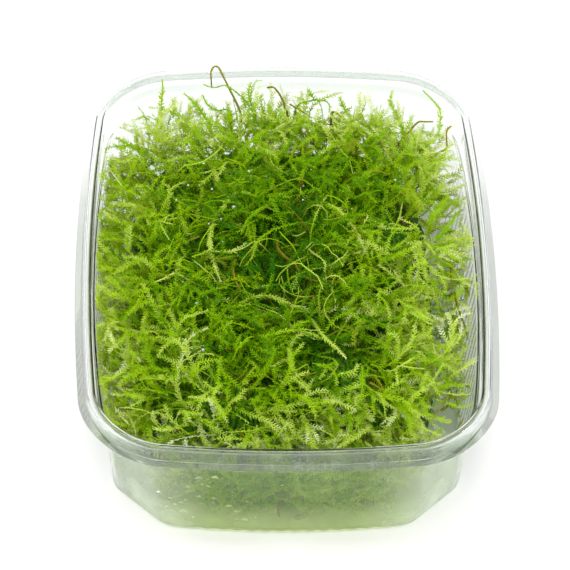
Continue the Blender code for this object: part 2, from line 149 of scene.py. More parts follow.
def buildStudio():
    aimCamera()
    mesh = bpy.data.meshes.new("floor")
    half, drop = studio["floorHalf"] * mm, -studio["floorDrop"] * mm
    mesh.from_pydata([(-half, -half, drop), (half, -half, drop), (half, half, drop), (-half, half, drop)],
                     [], [(0, 1, 2, 3)])
    floor = bpy.data.objects.new("floor", mesh)
    bpy.context.scene.collection.objects.link(floor)
    material, tree = newMaterial("matt white paper")     # even and bright, with no gloss
    shader = addNode(tree, "ShaderNodeBsdfPrincipled",
                     {"Base Color": linear(studio["floorColour"]), "Roughness": 0.9, "Specular IOR Level": 0.1})
    addNode(tree, "ShaderNodeOutputMaterial", {"Surface": shader.outputs[0]})
    mesh.materials.append(material)
    world = bpy.data.worlds.new("studio")
    world.use_nodes = True
    background = world.node_tree.nodes["Background"]
    background.inputs["Color"].default_value = linear(studio["worldColour"])
    background.inputs["Strength"].default_value = studio["worldStrength"]
    bpy.context.scene.world = world
    addSoftbox("softbox_above", studio["keyPlace"], studio["keySize"], studio["keyPower"])
    addSoftbox("softbox_front", studio["frontPlace"], studio["frontSize"], studio["frontPower"])
    for name, place in zip(("softbox_left", "softbox_right"), studio["sidePlaces"]):
        addSoftbox(name, place, studio["sideSize"], studio["sidePower"])
    bpy.context.scene.view_settings.view_transform = "Standard"
    print("studio: camera, floor and lights")


buildStudio()


# The clear tub: one formed sheet of PET

tub = {
    "height": 29.2, "sheet": 0.45,
    "rimHalfX": 35.17, "rimHalfY": 47.81, "rimBowX": 2.69, "rimBowY": 2.95, "rimCorner": 11.35,
    "beadWidth": 1.6, "beadDrop": 2.95, "lipWidth": 1.53, "lipDrop": 3.13, "lipEdge": 0.1,
    "stepDrop": 5.54, "ledgeFall": 0.3, "wallLean": 0.12, "baseEdge": 0.9,
    "fold": ((0.02, -1.0), (0.07, -0.62), (0.18, -0.34), (0.38, -0.12), (0.64, 0.06), (0.86, 0.18)),
    "topSection": (34.73, 47.37, 9.85, 9.16, 2.69, 2.95),   # half sizes, cut corner and bow, across and along
    "baseSection": (33.05, 45.7, 9.8, 9.6, 1.59, 1.59),
    "ribPitch": 2.78, "ribDepth": 0.32, "sideRibs": 23, "endRibs": 13, "sideShare": 0.16, "endShare": 0.55,
    "ribSteps": 6, "plainSteps": 4, "cornerSteps": 18, "softening": 4, "softReach": 4,
    "wallHeights": (0.08, 0.25, 0.45, 0.65, 0.82, 0.88, 0.91, 0.935),          # shares of the wall's height
    "ribFade": (1.0, 1.0, 1.0, 1.0, 1.0, 0.8, 0.4, 0.1),                       # how deep the ribs are there
    "baseInset": 0.8, "rimCut": 7.0,
    # painted light and shade: the sheet's colour is lighter at the sides and on the lip, and greyer on the rim in the
    # middle front
    "colour": "#e4e9e4", "sidePaintedLight": "#f4f7f4", "rimPaintedShade": "#dbe1dc", "rimSidePaintedLight": "#ebefec",
    # the mist's green and pale colours are painted light, for light let through by the moss
    "lipPaintedLight": "#f0f3f1", "mistAndGreenLight": "#dff0b0", "mistAndPaleLight": "#e4efd8",
    "mistBelow": 0.20, "mistCorner": 0.20, "mistBase": 0.7,
    "swells": 45.0, "patches": 260.0,                    # a metre: 22 mm swells in the sheet, 4 mm patches of fog
    "zones": {"belowLedge": ("Z", 23.6, 22.8), "lowDown": ("Z", 10.5, 3.0), "onBase": ("Z", 1.1, 0.7),
              "onRim": ("Z", 23.6, 24.4), "aboveBend": ("Z", 25.6, 26.2), "inFront": ("Y", -34.0, -41.0),
              "outer": ("X", 14.0, 27.0), "atSide": ("X", 30.0, 33.0)},      # from nothing to in full, X either way
}


def sectionAt(height):
    low, high = tub["sheet"] + tub["baseEdge"], tub["height"] - tub["stepDrop"]
    t = min(1.0, max(0.0, (height - low) / (high - low)))
    return [a + (b - a) * t for a, b in zip(tub["baseSection"], tub["topSection"])]


def bowOf(along, half, amount):
    return amount * (1.0 - min(1.0, abs(along) / half) ** 2)


def sideStations(straight, ribs):
    ribbed = tub["ribPitch"] * ribs / 2
    plain = [-straight + (straight - ribbed) * i / tub["plainSteps"] for i in range(tub["plainSteps"])]
    middle = [-ribbed + 2 * ribbed * i / (ribs * tub["ribSteps"]) for i in range(ribs * tub["ribSteps"] + 1)]
    return plain + middle + [-along for along in reversed(plain)]


def ribInset(along, ribs, depth):
    if abs(along) > tub["ribPitch"] * ribs / 2:
        return 0.0
    phase = (along + tub["ribPitch"] * ribs / 2) / tub["ribPitch"]
    return depth * (0.5 - 0.5 * math.cos(2 * math.pi * phase))


def bodyRing(height, grown, depth):
    halfX, halfY, cutX, cutY, bowX, bowY = sectionAt(height)
    halfX, halfY = halfX + grown, halfY + grown
    straightX = halfX - cutX - grown * (2.0 - math.sqrt(2.0))
    straightY = halfY - cutY - grown * (2.0 - math.sqrt(2.0))
    ring, corners = [], []
    for turn in range(4):
        long = turn % 2 == 0
        straight, half = (straightY, halfX) if long else (straightX, halfY)
        ribs, bow = (tub["sideRibs"], bowX) if long else (tub["endRibs"], bowY)
        sign = 1.0 if turn < 2 else -1.0
        for along in sideStations(straight, ribs):
            inset = ribInset(along, ribs, depth) * tub["sideShare" if long else "endShare"]
            out = half + bowOf(along, straight, bow) - inset
            ring.append((sign * out, sign * along) if long else (-sign * along, sign * out))
        start = ring[-1]
        corners.append(len(ring) - 1)
        end = {0: (straightX, halfY), 1: (-halfX, straightY), 2: (-straightX, -halfY), 3: (halfX, -straightY)}[turn]
        for i in range(1, tub["cornerSteps"]):
            t = i / tub["cornerSteps"]
            ring.append((start[0] + (end[0] - start[0]) * t, start[1] + (end[1] - start[1]) * t))
        corners.append(len(ring))
    ring = np.array(ring)
    for _ in range(tub["softening"]):                    # the cut corners' edges are soft, as on formed sheet
        soft = 0.25 * np.roll(ring, 1, 0) + 0.5 * ring + 0.25 * np.roll(ring, -1, 0)
        for corner in corners:
            for near in range(corner - tub["softReach"], corner + tub["softReach"] + 1):
                ring[near % len(ring)] = soft[near % len(ring)]
    return ring


def rimRing(offset):
    halfX, halfY, corner = tub["rimHalfX"] + offset, tub["rimHalfY"] + offset, tub["rimCorner"] + offset
    ring = []
    for turn in range(4):
        long = turn % 2 == 0
        straight, half = (halfY - corner, halfX) if long else (halfX - corner, halfY)
        ribs = tub["sideRibs"] if long else tub["endRibs"]
        sign = 1.0 if turn < 2 else -1.0
        for along in sideStations(straight, ribs):
            ring.append((sign * half, sign * along) if long else (-sign * along, sign * half))
        centre = ((1, 1), (-1, 1), (-1, -1), (1, -1))[turn]
        for i in range(1, tub["cornerSteps"]):
            angle = math.radians(90.0 * (turn + i / tub["cornerSteps"]))
            ring.append((centre[0] * (halfX - corner) + corner * math.cos(angle),
                         centre[1] * (halfY - corner) + corner * math.sin(angle)))
    return np.array([(x * (1.0 + bowOf(y, halfY, tub["rimBowX"]) / halfX),
                      y * (1.0 + bowOf(x, halfX, tub["rimBowY"]) / halfY)) for x, y in ring])


def rimProfile():
    # the rim in section: how far out from the bead's inner face, and how far below the top
    mid, sheet = tub["beadWidth"] / 2, tub["sheet"]
    inside = [(-tub["wallLean"], tub["stepDrop"] - tub["ledgeFall"]), (-0.06, 3.4), (0.0, mid + 0.3)]
    inside += [(mid - mid * math.cos(a), mid - mid * math.sin(a)) for a in np.linspace(0, math.pi, 13)]
    inside += [(tub["beadWidth"] + 0.05, 1.8), (tub["beadWidth"] + 0.12, tub["beadDrop"] - 0.35),
               (tub["beadWidth"] + 0.2, tub["beadDrop"] - 0.06), (tub["beadWidth"] + 0.5, tub["beadDrop"] + 0.05),
               (tub["beadWidth"] + tub["lipWidth"] - 0.1, tub["lipDrop"] - 0.02),
               (tub["beadWidth"] + tub["lipWidth"], tub["lipDrop"] + 0.02)]
    inner = mid - sheet
    outside = [(tub["beadWidth"] + tub["lipWidth"], tub["lipDrop"] + tub["lipEdge"] - 0.02),
               (tub["beadWidth"] + tub["lipWidth"] - 0.1, tub["lipDrop"] + tub["lipEdge"]),
               (tub["beadWidth"] - 0.05, tub["beadDrop"] + sheet),
               (tub["beadWidth"] - sheet + 0.12, tub["beadDrop"] + 0.1),
               (tub["beadWidth"] - sheet, 1.8)]
    outside += [(mid + inner * math.cos(a), mid - inner * math.sin(a)) for a in np.linspace(0, math.pi, 9)]
    outside += [(sheet - 0.03, 2.4), (sheet - tub["wallLean"], tub["stepDrop"])]
    return inside, outside


def buildTub():
    low, top = tub["sheet"] + tub["baseEdge"], tub["height"] - tub["stepDrop"]
    edge = tub["baseEdge"]
    fillet = [(edge * (1 - math.sin(a)), edge * (1 - math.cos(a)), math.sin(a))
              for a in np.linspace(0, math.pi / 2, 6)]
    heights, fade = [low + (top - low) * t for t in tub["wallHeights"]], tub["ribFade"]
    rings = [(bodyRing(low, -edge - tub["baseInset"], 0.0), tub["sheet"])]
    rings += [(bodyRing(low, -inset, tub["ribDepth"] * rib), tub["sheet"] + rise) for inset, rise, rib in fillet]
    rings += [(bodyRing(z, 0.0, tub["ribDepth"] * f), z) for z, f in zip(heights, fade)]
    inside, outside = rimProfile()
    ledge = rimRing(inside[0][0])
    rings += [(rings[-1][0] * (1 - t) + ledge * t, top + rise) for t, rise in tub["fold"]]
    rings += [(rimRing(offset), tub["height"] - drop) for offset, drop in inside + outside]
    under = bodyRing(top, tub["sheet"], tub["ribDepth"] * fade[-1])
    ledge = rimRing(outside[-1][0])
    rings += [(under * (1 - t) + ledge * t, top - tub["ledgeFall"] + rise) for t, rise in reversed(tub["fold"])]
    rings += [(bodyRing(z, tub["sheet"], tub["ribDepth"] * f), z - tub["ledgeFall"])
              for z, f in reversed(list(zip(heights, fade)))]
    rings += [(bodyRing(low, tub["sheet"] - inset, tub["ribDepth"] * rib), rise)
              for inset, rise, rib in reversed(fillet)]
    rings += [(bodyRing(low, tub["sheet"] - edge - tub["baseInset"], 0.0), 0.0)]
    count = len(rings[0][0])
    points = [(x * mm, y * mm, z * mm) for ring, z in rings for x, y in ring]
    faces = []
    for r in range(len(rings) - 1):
        for i in range(count):
            j = (i + 1) % count
            faces.append((r * count + i, (r + 1) * count + i, (r + 1) * count + j, r * count + j))
    faces.append(tuple(range(count)))
    faces.append(tuple(reversed(range((len(rings) - 1) * count, len(rings) * count))))
    mesh = bpy.data.meshes.new("pet_tub")
    mesh.from_pydata(points, [], faces)
    faceOutwards(mesh)
    mesh.shade_smooth()
    mesh.set_sharp_from_angle(angle=sharpAngle)
    newPiece("pet_tub", mesh, makePetMaterial(), "pet", "tub")
    print("tub:", len(mesh.polygons), "faces")


# Thermoformed PET: clear, glossy and faintly wavy. Water has fogged it low down on the front and in its corners, and a
# film lies on the base;
# their pale green is painted light let through by the moss. The rim is painted greyer in the middle front, painted
# shade for the light caught in the sheet, and the sides and lip are painted lighter, as painted light.
def makePetMaterial():
    material, tree = newMaterial("thermoformed PET")
    where = addNode(tree, "ShaderNodeTexCoord").outputs["Object"]
    parts = addNode(tree, "ShaderNodeSeparateXYZ", {"Vector": where}).outputs
    waves = addNode(tree, "ShaderNodeTexNoise", {"Vector": where, "Scale": tub["swells"], "Detail": 0.0})
    bump = addNode(tree, "ShaderNodeBump", {"Height": waves.outputs["Fac"], "Distance": 0.00012, "Strength": 0.3})
    mist = addNode(tree, "ShaderNodeTexNoise", {"Vector": where, "Scale": tub["patches"], "Detail": 4.0})
    patchy = addNode(tree, "ShaderNodeMapRange",
                     {"Value": mist.outputs["Fac"], "From Min": 0.3, "From Max": 0.7, "To Min": 0.8, "To Max": 1.2})
    axes = {"X": addNode(tree, "ShaderNodeMath", {0: parts["X"]}, operation="ABSOLUTE").outputs[0],
            "Y": parts["Y"], "Z": parts["Z"]}
    found = {"patchy": patchy.outputs[0]}
    for name, (axis, start, full) in tub["zones"].items():
        found[name] = addNode(tree, "ShaderNodeMapRange", {"Value": axes[axis], "From Min": start * mm,
                                                           "From Max": full * mm, "To Max": 1.0}).outputs[0]
    for name, operation, first, second in (
            ("low", "MULTIPLY", "lowDown", tub["mistBelow"]),
            ("corner", "MULTIPLY", "outer", tub["mistCorner"]),
            ("heavier", "ADD", "low", "corner"),
            ("there", "MULTIPLY", "inFront", "belowLedge"),
            ("fogged", "MULTIPLY", "there", "heavier"),
            ("onWall", "MULTIPLY", "fogged", "patchy"),
            ("film", "MULTIPLY", "onBase", tub["mistBase"]),
            ("fog", "MAXIMUM", "onWall", "film"),
            ("misted", "MAXIMUM", "there", "onBase"),
            ("clear", "SUBTRACT", 1.0, "fog"),
            ("centred", "SUBTRACT", 1.0, "outer"),
            ("midFront", "MULTIPLY", "inFront", "centred"),
            ("elsewhere", "SUBTRACT", 1.0, "midFront"),
            ("onLip", "MULTIPLY", "aboveBend", "elsewhere")):
        inputs = {0: found.get(first, first), 1: found.get(second, second)}
        found[name] = addNode(tree, "ShaderNodeMath", inputs, operation=operation).outputs[0]
    tints = {name: linear(value) for name, value in tub.items() if str(value).startswith("#")}
    # the sheet's colour, painted lighter at the sides and on the lip and greyer on the rim in the middle front: painted
    # light and painted shade
    for name, share, under, over in (
            ("body", "atSide", "colour", "sidePaintedLight"),
            ("rim", "atSide", "rimPaintedShade", "rimSidePaintedLight"),
            ("sheet", "onRim", "body", "rim"),
            ("upper", "onLip", "sheet", "lipPaintedLight"),
            # the misted parts take a green, then paler, colour: painted light let through by the moss
            ("mist", "outer", "mistAndGreenLight", "mistAndPaleLight"),
            ("all", "misted", "upper", "mist")):
        tints[name] = addNode(tree, "ShaderNodeMix", {0: found[share], 6: tints[under], 7: tints[over]},
                              data_type="RGBA").outputs[2]
    # PET has an IOR of 1.57; with it the front wall mirrors too much floor for the moss to show through as it does
    shader = addNode(tree, "ShaderNodeBsdfPrincipled",
                     {"Base Color": tints["all"], "Roughness": 0.03, "IOR": 1.4, "Specular IOR Level": 0.14,
                      "Transmission Weight": found["clear"], "Normal": bump.outputs[0]})
    addNode(tree, "ShaderNodeOutputMaterial", {"Surface": shader.outputs[0]})
    return material


buildTub()


# How a leafy shoot is made: a stem swept along its line, with small pointed leaves set on both sides

leaf = {"length": 0.94, "width": 0.33, "widest": 0.36, "fold": 0.05, "sizeChange": 0.22, "least": 0.05}


def makeLeafBlade():
    length, half = leaf["length"] * mm, leaf["width"] / 2 * mm
    mesh = bpy.data.meshes.new("leaf_blade")
    mesh.from_pydata([(0, 0, 0), (-half, leaf["fold"] * mm, length * leaf["widest"]), (0, 0, length),
                      (half, leaf["fold"] * mm, length * leaf["widest"])], [],
                     [(0, 1, 2), (0, 2, 3), (0, 3, 1), (1, 3, 2)])
    faceOutwards(mesh)
    blade = bpy.data.objects.new("leaf_blade", mesh)
    bpy.context.scene.collection.objects.link(blade)
    return blade


def makeShootTree():
    tree = bpy.data.node_groups.new("leafy shoots", "GeometryNodeTree")
    sockets = tree.interface
    sockets.new_socket("Lines", in_out="INPUT", socket_type="NodeSocketGeometry")
    for label, value in (("Stem Radius", 0.00012), ("Leaf Spacing", 0.00028), ("Leaf Spread", 0.82),
                         ("Spread Change", 0.18), ("Roll Change", 0.4), ("Tone Change", 0.05)):
        sockets.new_socket(label, in_out="INPUT", socket_type="NodeSocketFloat").default_value = value
    sockets.new_socket("Seed", in_out="INPUT", socket_type="NodeSocketInt").default_value = 1
    sockets.new_socket("Leaf Blade", in_out="INPUT", socket_type="NodeSocketObject")
    sockets.new_socket("Material", in_out="INPUT", socket_type="NodeSocketMaterial")
    sockets.new_socket("Shoots", in_out="OUTPUT", socket_type="NodeSocketGeometry")
    given = addNode(tree, "NodeGroupInput").outputs
    lines = addNode(tree, "GeometryNodeMeshToCurve", {"Mesh": given["Lines"]})
    level = addNode(tree, "GeometryNodeSetCurveNormal", {"Curve": lines.outputs[0]}, mode="Z_UP")
    read = {}
    for name in ("thick", "leafSize", "roll", "tone"):
        read[name] = addNode(tree, "GeometryNodeInputNamedAttribute", {"Name": name}, data_type="FLOAT").outputs[0]
    profile = addNode(tree, "GeometryNodeCurvePrimitiveCircle", {"Resolution": 3, "Radius": given["Stem Radius"]})
    stems = addNode(tree, "GeometryNodeCurveToMesh",
                    {"Curve": level.outputs[0], "Profile Curve": profile.outputs[0], "Scale": read["thick"],
                     "Fill Caps": True})
    spaced = addNode(tree, "GeometryNodeResampleCurve",
                     {"Curve": level.outputs[0], "Length": given["Leaf Spacing"]}, mode="LENGTH")
    places = addNode(tree, "GeometryNodeCurveToPoints", {"Curve": spaced.outputs[0]}, mode="EVALUATED")

    def change(amount, step):
        seed = addNode(tree, "ShaderNodeMath", {0: given["Seed"], 1: float(step)}, operation="ADD")
        below = addNode(tree, "ShaderNodeMath", {0: 0.0, 1: amount}, operation="SUBTRACT")
        return addNode(tree, "FunctionNodeRandomValue",
                       {2: below.outputs[0], 3: amount, "Seed": seed.outputs[0]},
                       data_type="FLOAT").outputs[1]

    found = {"order": addNode(tree, "GeometryNodeInputIndex").outputs[0], **read}
    for name, operation, first, second in (
            ("side", "MULTIPLY", "order", math.pi),              # left, right, left
            ("around", "ADD", "side", "roll"),
            ("rolled", "ADD", "around", change(given["Roll Change"], 1)),
            ("spread", "ADD", given["Leaf Spread"], change(given["Spread Change"], 2)),
            ("size", "ADD", change(leaf["sizeChange"], 3), 1.0),
            ("sized", "MULTIPLY", "size", "leafSize"),
            ("toned", "ADD", "tone", change(given["Tone Change"], 4)),
            ("leafy", "GREATER_THAN", "leafSize", leaf["least"])):
        inputs = {0: found.get(first, first), 1: found.get(second, second)}
        found[name] = addNode(tree, "ShaderNodeMath", inputs, operation=operation).outputs[0]
    turn = addNode(tree, "ShaderNodeCombineXYZ", {"Y": found["spread"], "Z": found["rolled"]})
    local = addNode(tree, "FunctionNodeEulerToRotation", {"Euler": turn.outputs[0]})
    facing = addNode(tree, "FunctionNodeRotateRotation",
                     {"Rotation": places.outputs["Rotation"], "Rotate By": local.outputs[0]}, rotation_space="LOCAL")
    painted = addNode(tree, "GeometryNodeStoreNamedAttribute",
                      {"Geometry": places.outputs["Points"], "Name": "tone", "Value": found["toned"]},
                      data_type="FLOAT", domain="POINT")
    blade = addNode(tree, "GeometryNodeObjectInfo", {"Object": given["Leaf Blade"], "As Instance": True})
    leaves = addNode(tree, "GeometryNodeInstanceOnPoints",
                     {"Points": painted.outputs[0], "Selection": found["leafy"], "Instance": blade.outputs["Geometry"],
                      "Rotation": facing.outputs[0], "Scale": found["sized"]})
    joined = addNode(tree, "GeometryNodeJoinGeometry", {"Geometry": stems.outputs[0]})
    tree.links.new(leaves.outputs[0], joined.inputs[0])
    whole = addNode(tree, "GeometryNodeRealizeInstances", {"Geometry": joined.outputs[0]})
    dressed = addNode(tree, "GeometryNodeSetMaterial", {"Geometry": whole.outputs[0], "Material": given["Material"]})
    addNode(tree, "NodeGroupOutput", {"Shoots": dressed.outputs[0]})
    return tree


leafBlade = makeLeafBlade()
shootTree = makeShootTree()


def growShoots(name, lines, material, **settings):
    # each line: points in mm, and for each or all how thick the stem, how big the leaves, how they roll round it,
    # how light the tone and how browned
    points, edges, values = [], [], {"thick": [], "leafSize": [], "roll": [], "tone": [], "aged": []}
    for line in lines:
        start = len(points)
        count = len(line["points"])
        points += [tuple(c * mm for c in point) for point in line["points"]]
        edges += [(start + i, start + i + 1) for i in range(count - 1)]
        for key, store in values.items():
            value = line[key]
            store += list(value) if isinstance(value, (list, tuple, np.ndarray)) else [value] * count
    mesh = bpy.data.meshes.new(name + "_lines")
    mesh.from_pydata(points, edges, [])
    for key, store in values.items():
        mesh.attributes.new(key, "FLOAT", "POINT").data.foreach_set("value", np.array(store, np.float32))
    source = bpy.data.objects.new(name + "_lines", mesh)
    bpy.context.scene.collection.objects.link(source)
    modifier = source.modifiers.new("shoots", "NODES")
    modifier.node_group = shootTree
    idOf = {item.name: item.identifier for item in shootTree.interface.items_tree
            if item.item_type == "SOCKET" and item.in_out == "INPUT"}
    for label, value in {"Leaf Blade": leafBlade, "Material": material, **settings}.items():
        modifier[idOf[label]] = value
    whole = bpy.data.meshes.new_from_object(source.evaluated_get(bpy.context.evaluated_depsgraph_get()))
    whole.name = name
    for spare in ("thick", "leafSize", "roll"):
        if spare in whole.attributes:
            whole.attributes.remove(whole.attributes[spare])
    source.modifiers.remove(modifier)
    bpy.data.objects.remove(source)
    bpy.data.meshes.remove(mesh)
    return whole


# Creeping moss: soft, faintly glossy leaves, from deep green in the clump to yellow-green at the tips. The tone they
# carry also holds painted shade deep down and in the hollow, and painted light at the edges and in front.
mossColour = {
    "stops": ((0.0, "#235200"), (0.25, "#4b8200"), (0.5, "#7da906"), (0.75, "#b0c84a"), (1.0, "#dce7b0")),
    "aged": "#70591a", "patchSize": 14.0, "patchChange": 0.45,
}


def makeMossMaterial():
    material, tree = newMaterial("creeping moss")
    tone = addNode(tree, "ShaderNodeAttribute", attribute_name="tone").outputs["Fac"]
    aged = addNode(tree, "ShaderNodeAttribute", attribute_name="aged").outputs["Fac"]
    where = addNode(tree, "ShaderNodeTexCoord").outputs["Object"]
    patch = addNode(tree, "ShaderNodeTexNoise",
                    {"Vector": where, "Scale": 1000.0 / mossColour["patchSize"], "Detail": 2.0})
    lift = addNode(tree, "ShaderNodeMath", {0: patch.outputs["Fac"], 1: 0.5}, operation="SUBTRACT")
    mixed = addNode(tree, "ShaderNodeMath", {0: lift.outputs[0], 1: mossColour["patchChange"], 2: tone},
                    operation="MULTIPLY_ADD")
    ramp = addNode(tree, "ShaderNodeValToRGB", {"Fac": mixed.outputs[0]})
    stops = ramp.color_ramp.elements
    while len(stops) < len(mossColour["stops"]):
        stops.new(0.5)
    for stop, (place, colour) in zip(stops, mossColour["stops"]):
        stop.position, stop.color = place, linear(colour)
    colour = addNode(tree, "ShaderNodeMix", {0: aged, 6: ramp.outputs[0], 7: linear(mossColour["aged"])},
                     data_type="RGBA")
    shader = addNode(tree, "ShaderNodeBsdfPrincipled",
                     {"Base Color": colour.outputs[2], "Roughness": 0.5, "IOR": 1.42, "Specular IOR Level": 0.05,
                      "Subsurface Weight": 0.5, "Subsurface Radius": (0.9, 1.0, 0.25), "Subsurface Scale": 0.0006})
    addNode(tree, "ShaderNodeOutputMaterial", {"Surface": shader.outputs[0]})
    return material


mossMaterial = makeMossMaterial()


# The clump: its form, then the shoots that make it

clump = {
    "left": 35.0, "right": 34.0, "front": 47.7, "back": 43.0, "squareness": 3.6,
    "edgeZ": 14.0, "rise": 17.0, "shoulder": 5.0, "ceiling": 33.3, "wallGap": 1.0, "step": 1.6, "seed": 11,
    "hollowDepth": 4.5, "hollowCentre": (3.0, -13.0), "hollowReach": (10.0, 19.0),
    "shadeCentre": (-9.0, -6.0), "shadeReach": (14.0, 15.0),                 # painted shade: the moss is coloured darker there
    "swell": 0.9, "swellTurns": (0.31, 0.27), "flowSize": 15.0,
    "under": ((14.0, 1.0, 0.0), (9.0, 0.99, 2.5), (4.0, 0.95, 5.5), (0.8, 0.84, 7.0)),     # height, scale, set back
    "gapPlace": (30.2, -40.5), "gapReach": 3.6, "gapHeight": 27.0, "sightSlope": 0.65,     # the free front right corner
    # the shoots on top: tone at the middle and what is added or taken off by place, depth and chance; the darker
    # hollow, shaded patch and deeper shoots are painted shade, the lighter edge and right side are paler moss and
    # painted light
    "topShoots": 1500, "topReach": 0.97, "topSunk": (0.8, 6.0), "topLength": (8.0, 15.0), "branches": (1, 4),
    "backFrom": 14.0, "backTo": 34.0, "lean": 0.35, "edgeLean": 1.3, "backLean": -0.7, "flow": 1.5,
    "rightLean": 0.5, "rightFrom": 14.0, "topTone": 0.24, "edgePaleAndLitTone": 0.58, "acrossPaleAndLitTone": 0.05,
    "hollowShadeTone": -0.28, "toneChange": 0.08, "deepShadeTone": -0.22, "paleTone": 0.16, "paleShare": 0.12, "shadeTone": 0.15,
    # stems without or with few leaves, lying on top
    "wiryStems": 75, "brownStems": 60, "stemSpread": 0.42, "stemReach": 0.8,
    # shoots pressed against the front wall, above an arch, and single bits that cling lower down
    "wallShoots": 270, "wallSpan": 25.0, "wallFrom": 8.0, "wallTo": 23.0, "archRise": 9.0, "archFrom": 12.0,
    "wallOff": (0.3, 1.5), "wallLength": (4.0, 9.0), "wallTone": 0.58, "wallToneChange": 0.16, "wallLowest": 5.0,
    "wallBits": ((6.9, 5.8, 0.45, 0.0), (2.4, 7.4, 0.55, 0.2), (17.4, 4.6, 0.4, 0.0), (-8.6, 7.2, 0.5, 0.0),
                 (-3.6, 9.0, 0.3, 0.0), (12.4, 8.6, 0.35, 0.9), (15.2, 10.6, 0.3, 0.9), (9.6, 6.6, 0.6, 0.0)),
    # shoots round the sides, fewer high up on the right
    "sideShoots": 620, "sideFrom": 2.0, "sideTo": 25.0, "sideLength": (7.0, 14.0), "sideIn": 0.91,
    "sideTone": 0.45, "frontLitTone": 0.1, "sideToneChange": 0.14, "rightTurn": 0.35, "rightHeight": 9.0,
    "rightDropped": 0.2, "backRightDropped": 0.6,
}


def halvesAt(x, y):
    return clump["right" if x > 0.0 else "left"], clump["back" if y > 0.0 else "front"]


def roundedReach(u, v):
    return (abs(u) ** clump["squareness"] + abs(v) ** clump["squareness"]) ** (1 / clump["squareness"])


def planReach(x, y):
    halfX, halfY = halvesAt(x, y)
    return roundedReach(x / halfX, y / halfY)


def inHollow(x, y, name="hollow"):
    awayX = (x - clump[name + "Centre"][0]) / clump[name + "Reach"][0]
    awayY = (y - clump[name + "Centre"][1]) / clump[name + "Reach"][1]
    return math.exp(-awayX ** 2 - awayY ** 2)


def clumpTop(x, y):
    height = clump["edgeZ"] + clump["rise"] * math.sqrt(max(0.0, 1.0 - planReach(x, y) ** clump["shoulder"]))
    height -= clump["hollowDepth"] * inHollow(x, y)
    return height + clump["swell"] * math.sin(x * clump["swellTurns"][0]) * math.cos(y * clump["swellTurns"][1])


# How much thinner the moss is towards the back, at the right wall, in the two corners there and in the hollow:
# the share that is missing, where that begins and where it is in full
thinned = {
    "back": (0.5, 28.0, 42.0), "right": (0.8, 27.5, 32.0), "rightAlong": (-46.0, -34.0), "hollow": 0.3,
    "backRight": (0.93, 17.0, 9.0), "backRightPlace": (34.0, 38.0),
    "frontRight": (0.92, 7.0, 1.0), "frontRightPlace": (31.0, -39.0), "frontRightFree": 5.0,
}


def missing(name, value):
    share, start, full = thinned[name]
    return share * smoothStep(start, full, value)


def awayFrom(place, x, y):
    return math.hypot(x - thinned[place][0], y - thinned[place][1])


def sparseness(x, y):
    return max(missing("back", y), missing("right", x) * smoothStep(*thinned["rightAlong"], y),
               missing("backRight", awayFrom("backRightPlace", x, y)),
               missing("frontRight", awayFrom("frontRightPlace", x, y) - thinned["frontRightFree"]),
               thinned["hollow"] * inHollow(x, y))


def holdInside(point, gap):
    # keeps a point clear of the tub's walls and floor
    x, y, z = point
    z = max(tub["sheet"] + gap, z)
    halfX, halfY, cutX, cutY, bowX, bowY = sectionAt(z)
    if z > tub["height"] - tub["stepDrop"]:
        halfX, halfY, cutX, cutY = tub["rimHalfX"], tub["rimHalfY"], tub["rimCut"], tub["rimCut"]
    limitX = halfX + bowOf(y, halfY, bowX) - tub["ribDepth"] - gap
    limitY = halfY + bowOf(x, halfX, bowY) - tub["ribDepth"] - gap
    x = max(-limitX, min(limitX, x))
    y = max(-limitY, min(limitY, y))
    over = (abs(x) - (halfX - cutX)) / cutX + (abs(y) - (halfY - cutY)) / cutY - 1.0 + gap * 1.4 / cutX
    if over > 0.0:
        x -= math.copysign(over * cutX / 2, x)
        y -= math.copysign(over * cutY / 2, y)
    return Vector((x, y, z))


# How a line wanders, climbs to the clump's surface and branches, and how it is dressed along its length
growth = {
    "bendKept": 0.75, "bendFresh": 0.6, "bendTurn": 0.12, "climb": 0.10, "restDepth": 0.5, "depthSpan": 2.0,
    "steepest": -1.6, "blocked": 0.35, "taper": 0.45, "rootLeaf": 0.75, "tipFrom": 0.7, "tipSpan": 0.3,
    "toneRise": 0.22, "toneFrom": 0.35, "rollChange": 0.45, "sideways": (0.1, 0.3), "branchAlong": 0.75,
    "branchOut": (0.5, 1.0), "branchLength": (0.25, 0.5), "branchTone": (-0.05, 0.12), "branchLeaf": 0.85,
    "branchThick": 0.8,
}


def runLine(chance, root, heading, length, curl, follow=1.0):
    # a wandering line that keeps near the clump's surface, the more so the higher follow is
    step = clump["step"]
    points = [holdInside(root, clump["wallGap"])]
    heading = heading.normalized()
    bend = Vector([chance.gauss(0, 1) for _ in range(3)]) * curl
    for _ in range(max(2, round(length / step))):
        fresh = Vector([chance.gauss(0, 1) for _ in range(3)]) * curl * growth["bendFresh"]
        bend = bend * growth["bendKept"] + fresh
        heading = (heading + bend * step * growth["bendTurn"]).normalized()
        here = points[-1]
        if follow > 0.0:
            depth = clumpTop(here.x, here.y) - here.z - growth["restDepth"]
            heading.z += growth["climb"] * follow * min(1.0, max(growth["steepest"], depth / growth["depthSpan"]))
            heading.normalize()
        if here.z > clump["ceiling"]:
            heading.z = min(heading.z, -0.1)
        following = holdInside(here + heading * step, clump["wallGap"])
        if (following - here).length < step * growth["blocked"]:
            break
        points.append(following)
    return points


def dressLine(points, tone, aged, size, roll, thick=1.0, tipSize=0.65):
    count = len(points)
    part = [i / max(1, count - 1) for i in range(count)]
    root, tipFrom = growth["rootLeaf"], growth["tipFrom"]
    return {"points": points, "roll": roll, "aged": aged,
            "thick": [thick * (1.0 - growth["taper"] * p) for p in part],
            "leafSize": [size * (root + (1.0 - root) * min(1.0, p * 4))
                         * (1.0 if p < tipFrom else 1.0 - (p - tipFrom) / growth["tipSpan"] * (1 - tipSize))
                         for p in part],
            "tone": [tone + growth["toneRise"] * (p - growth["toneFrom"]) for p in part]}


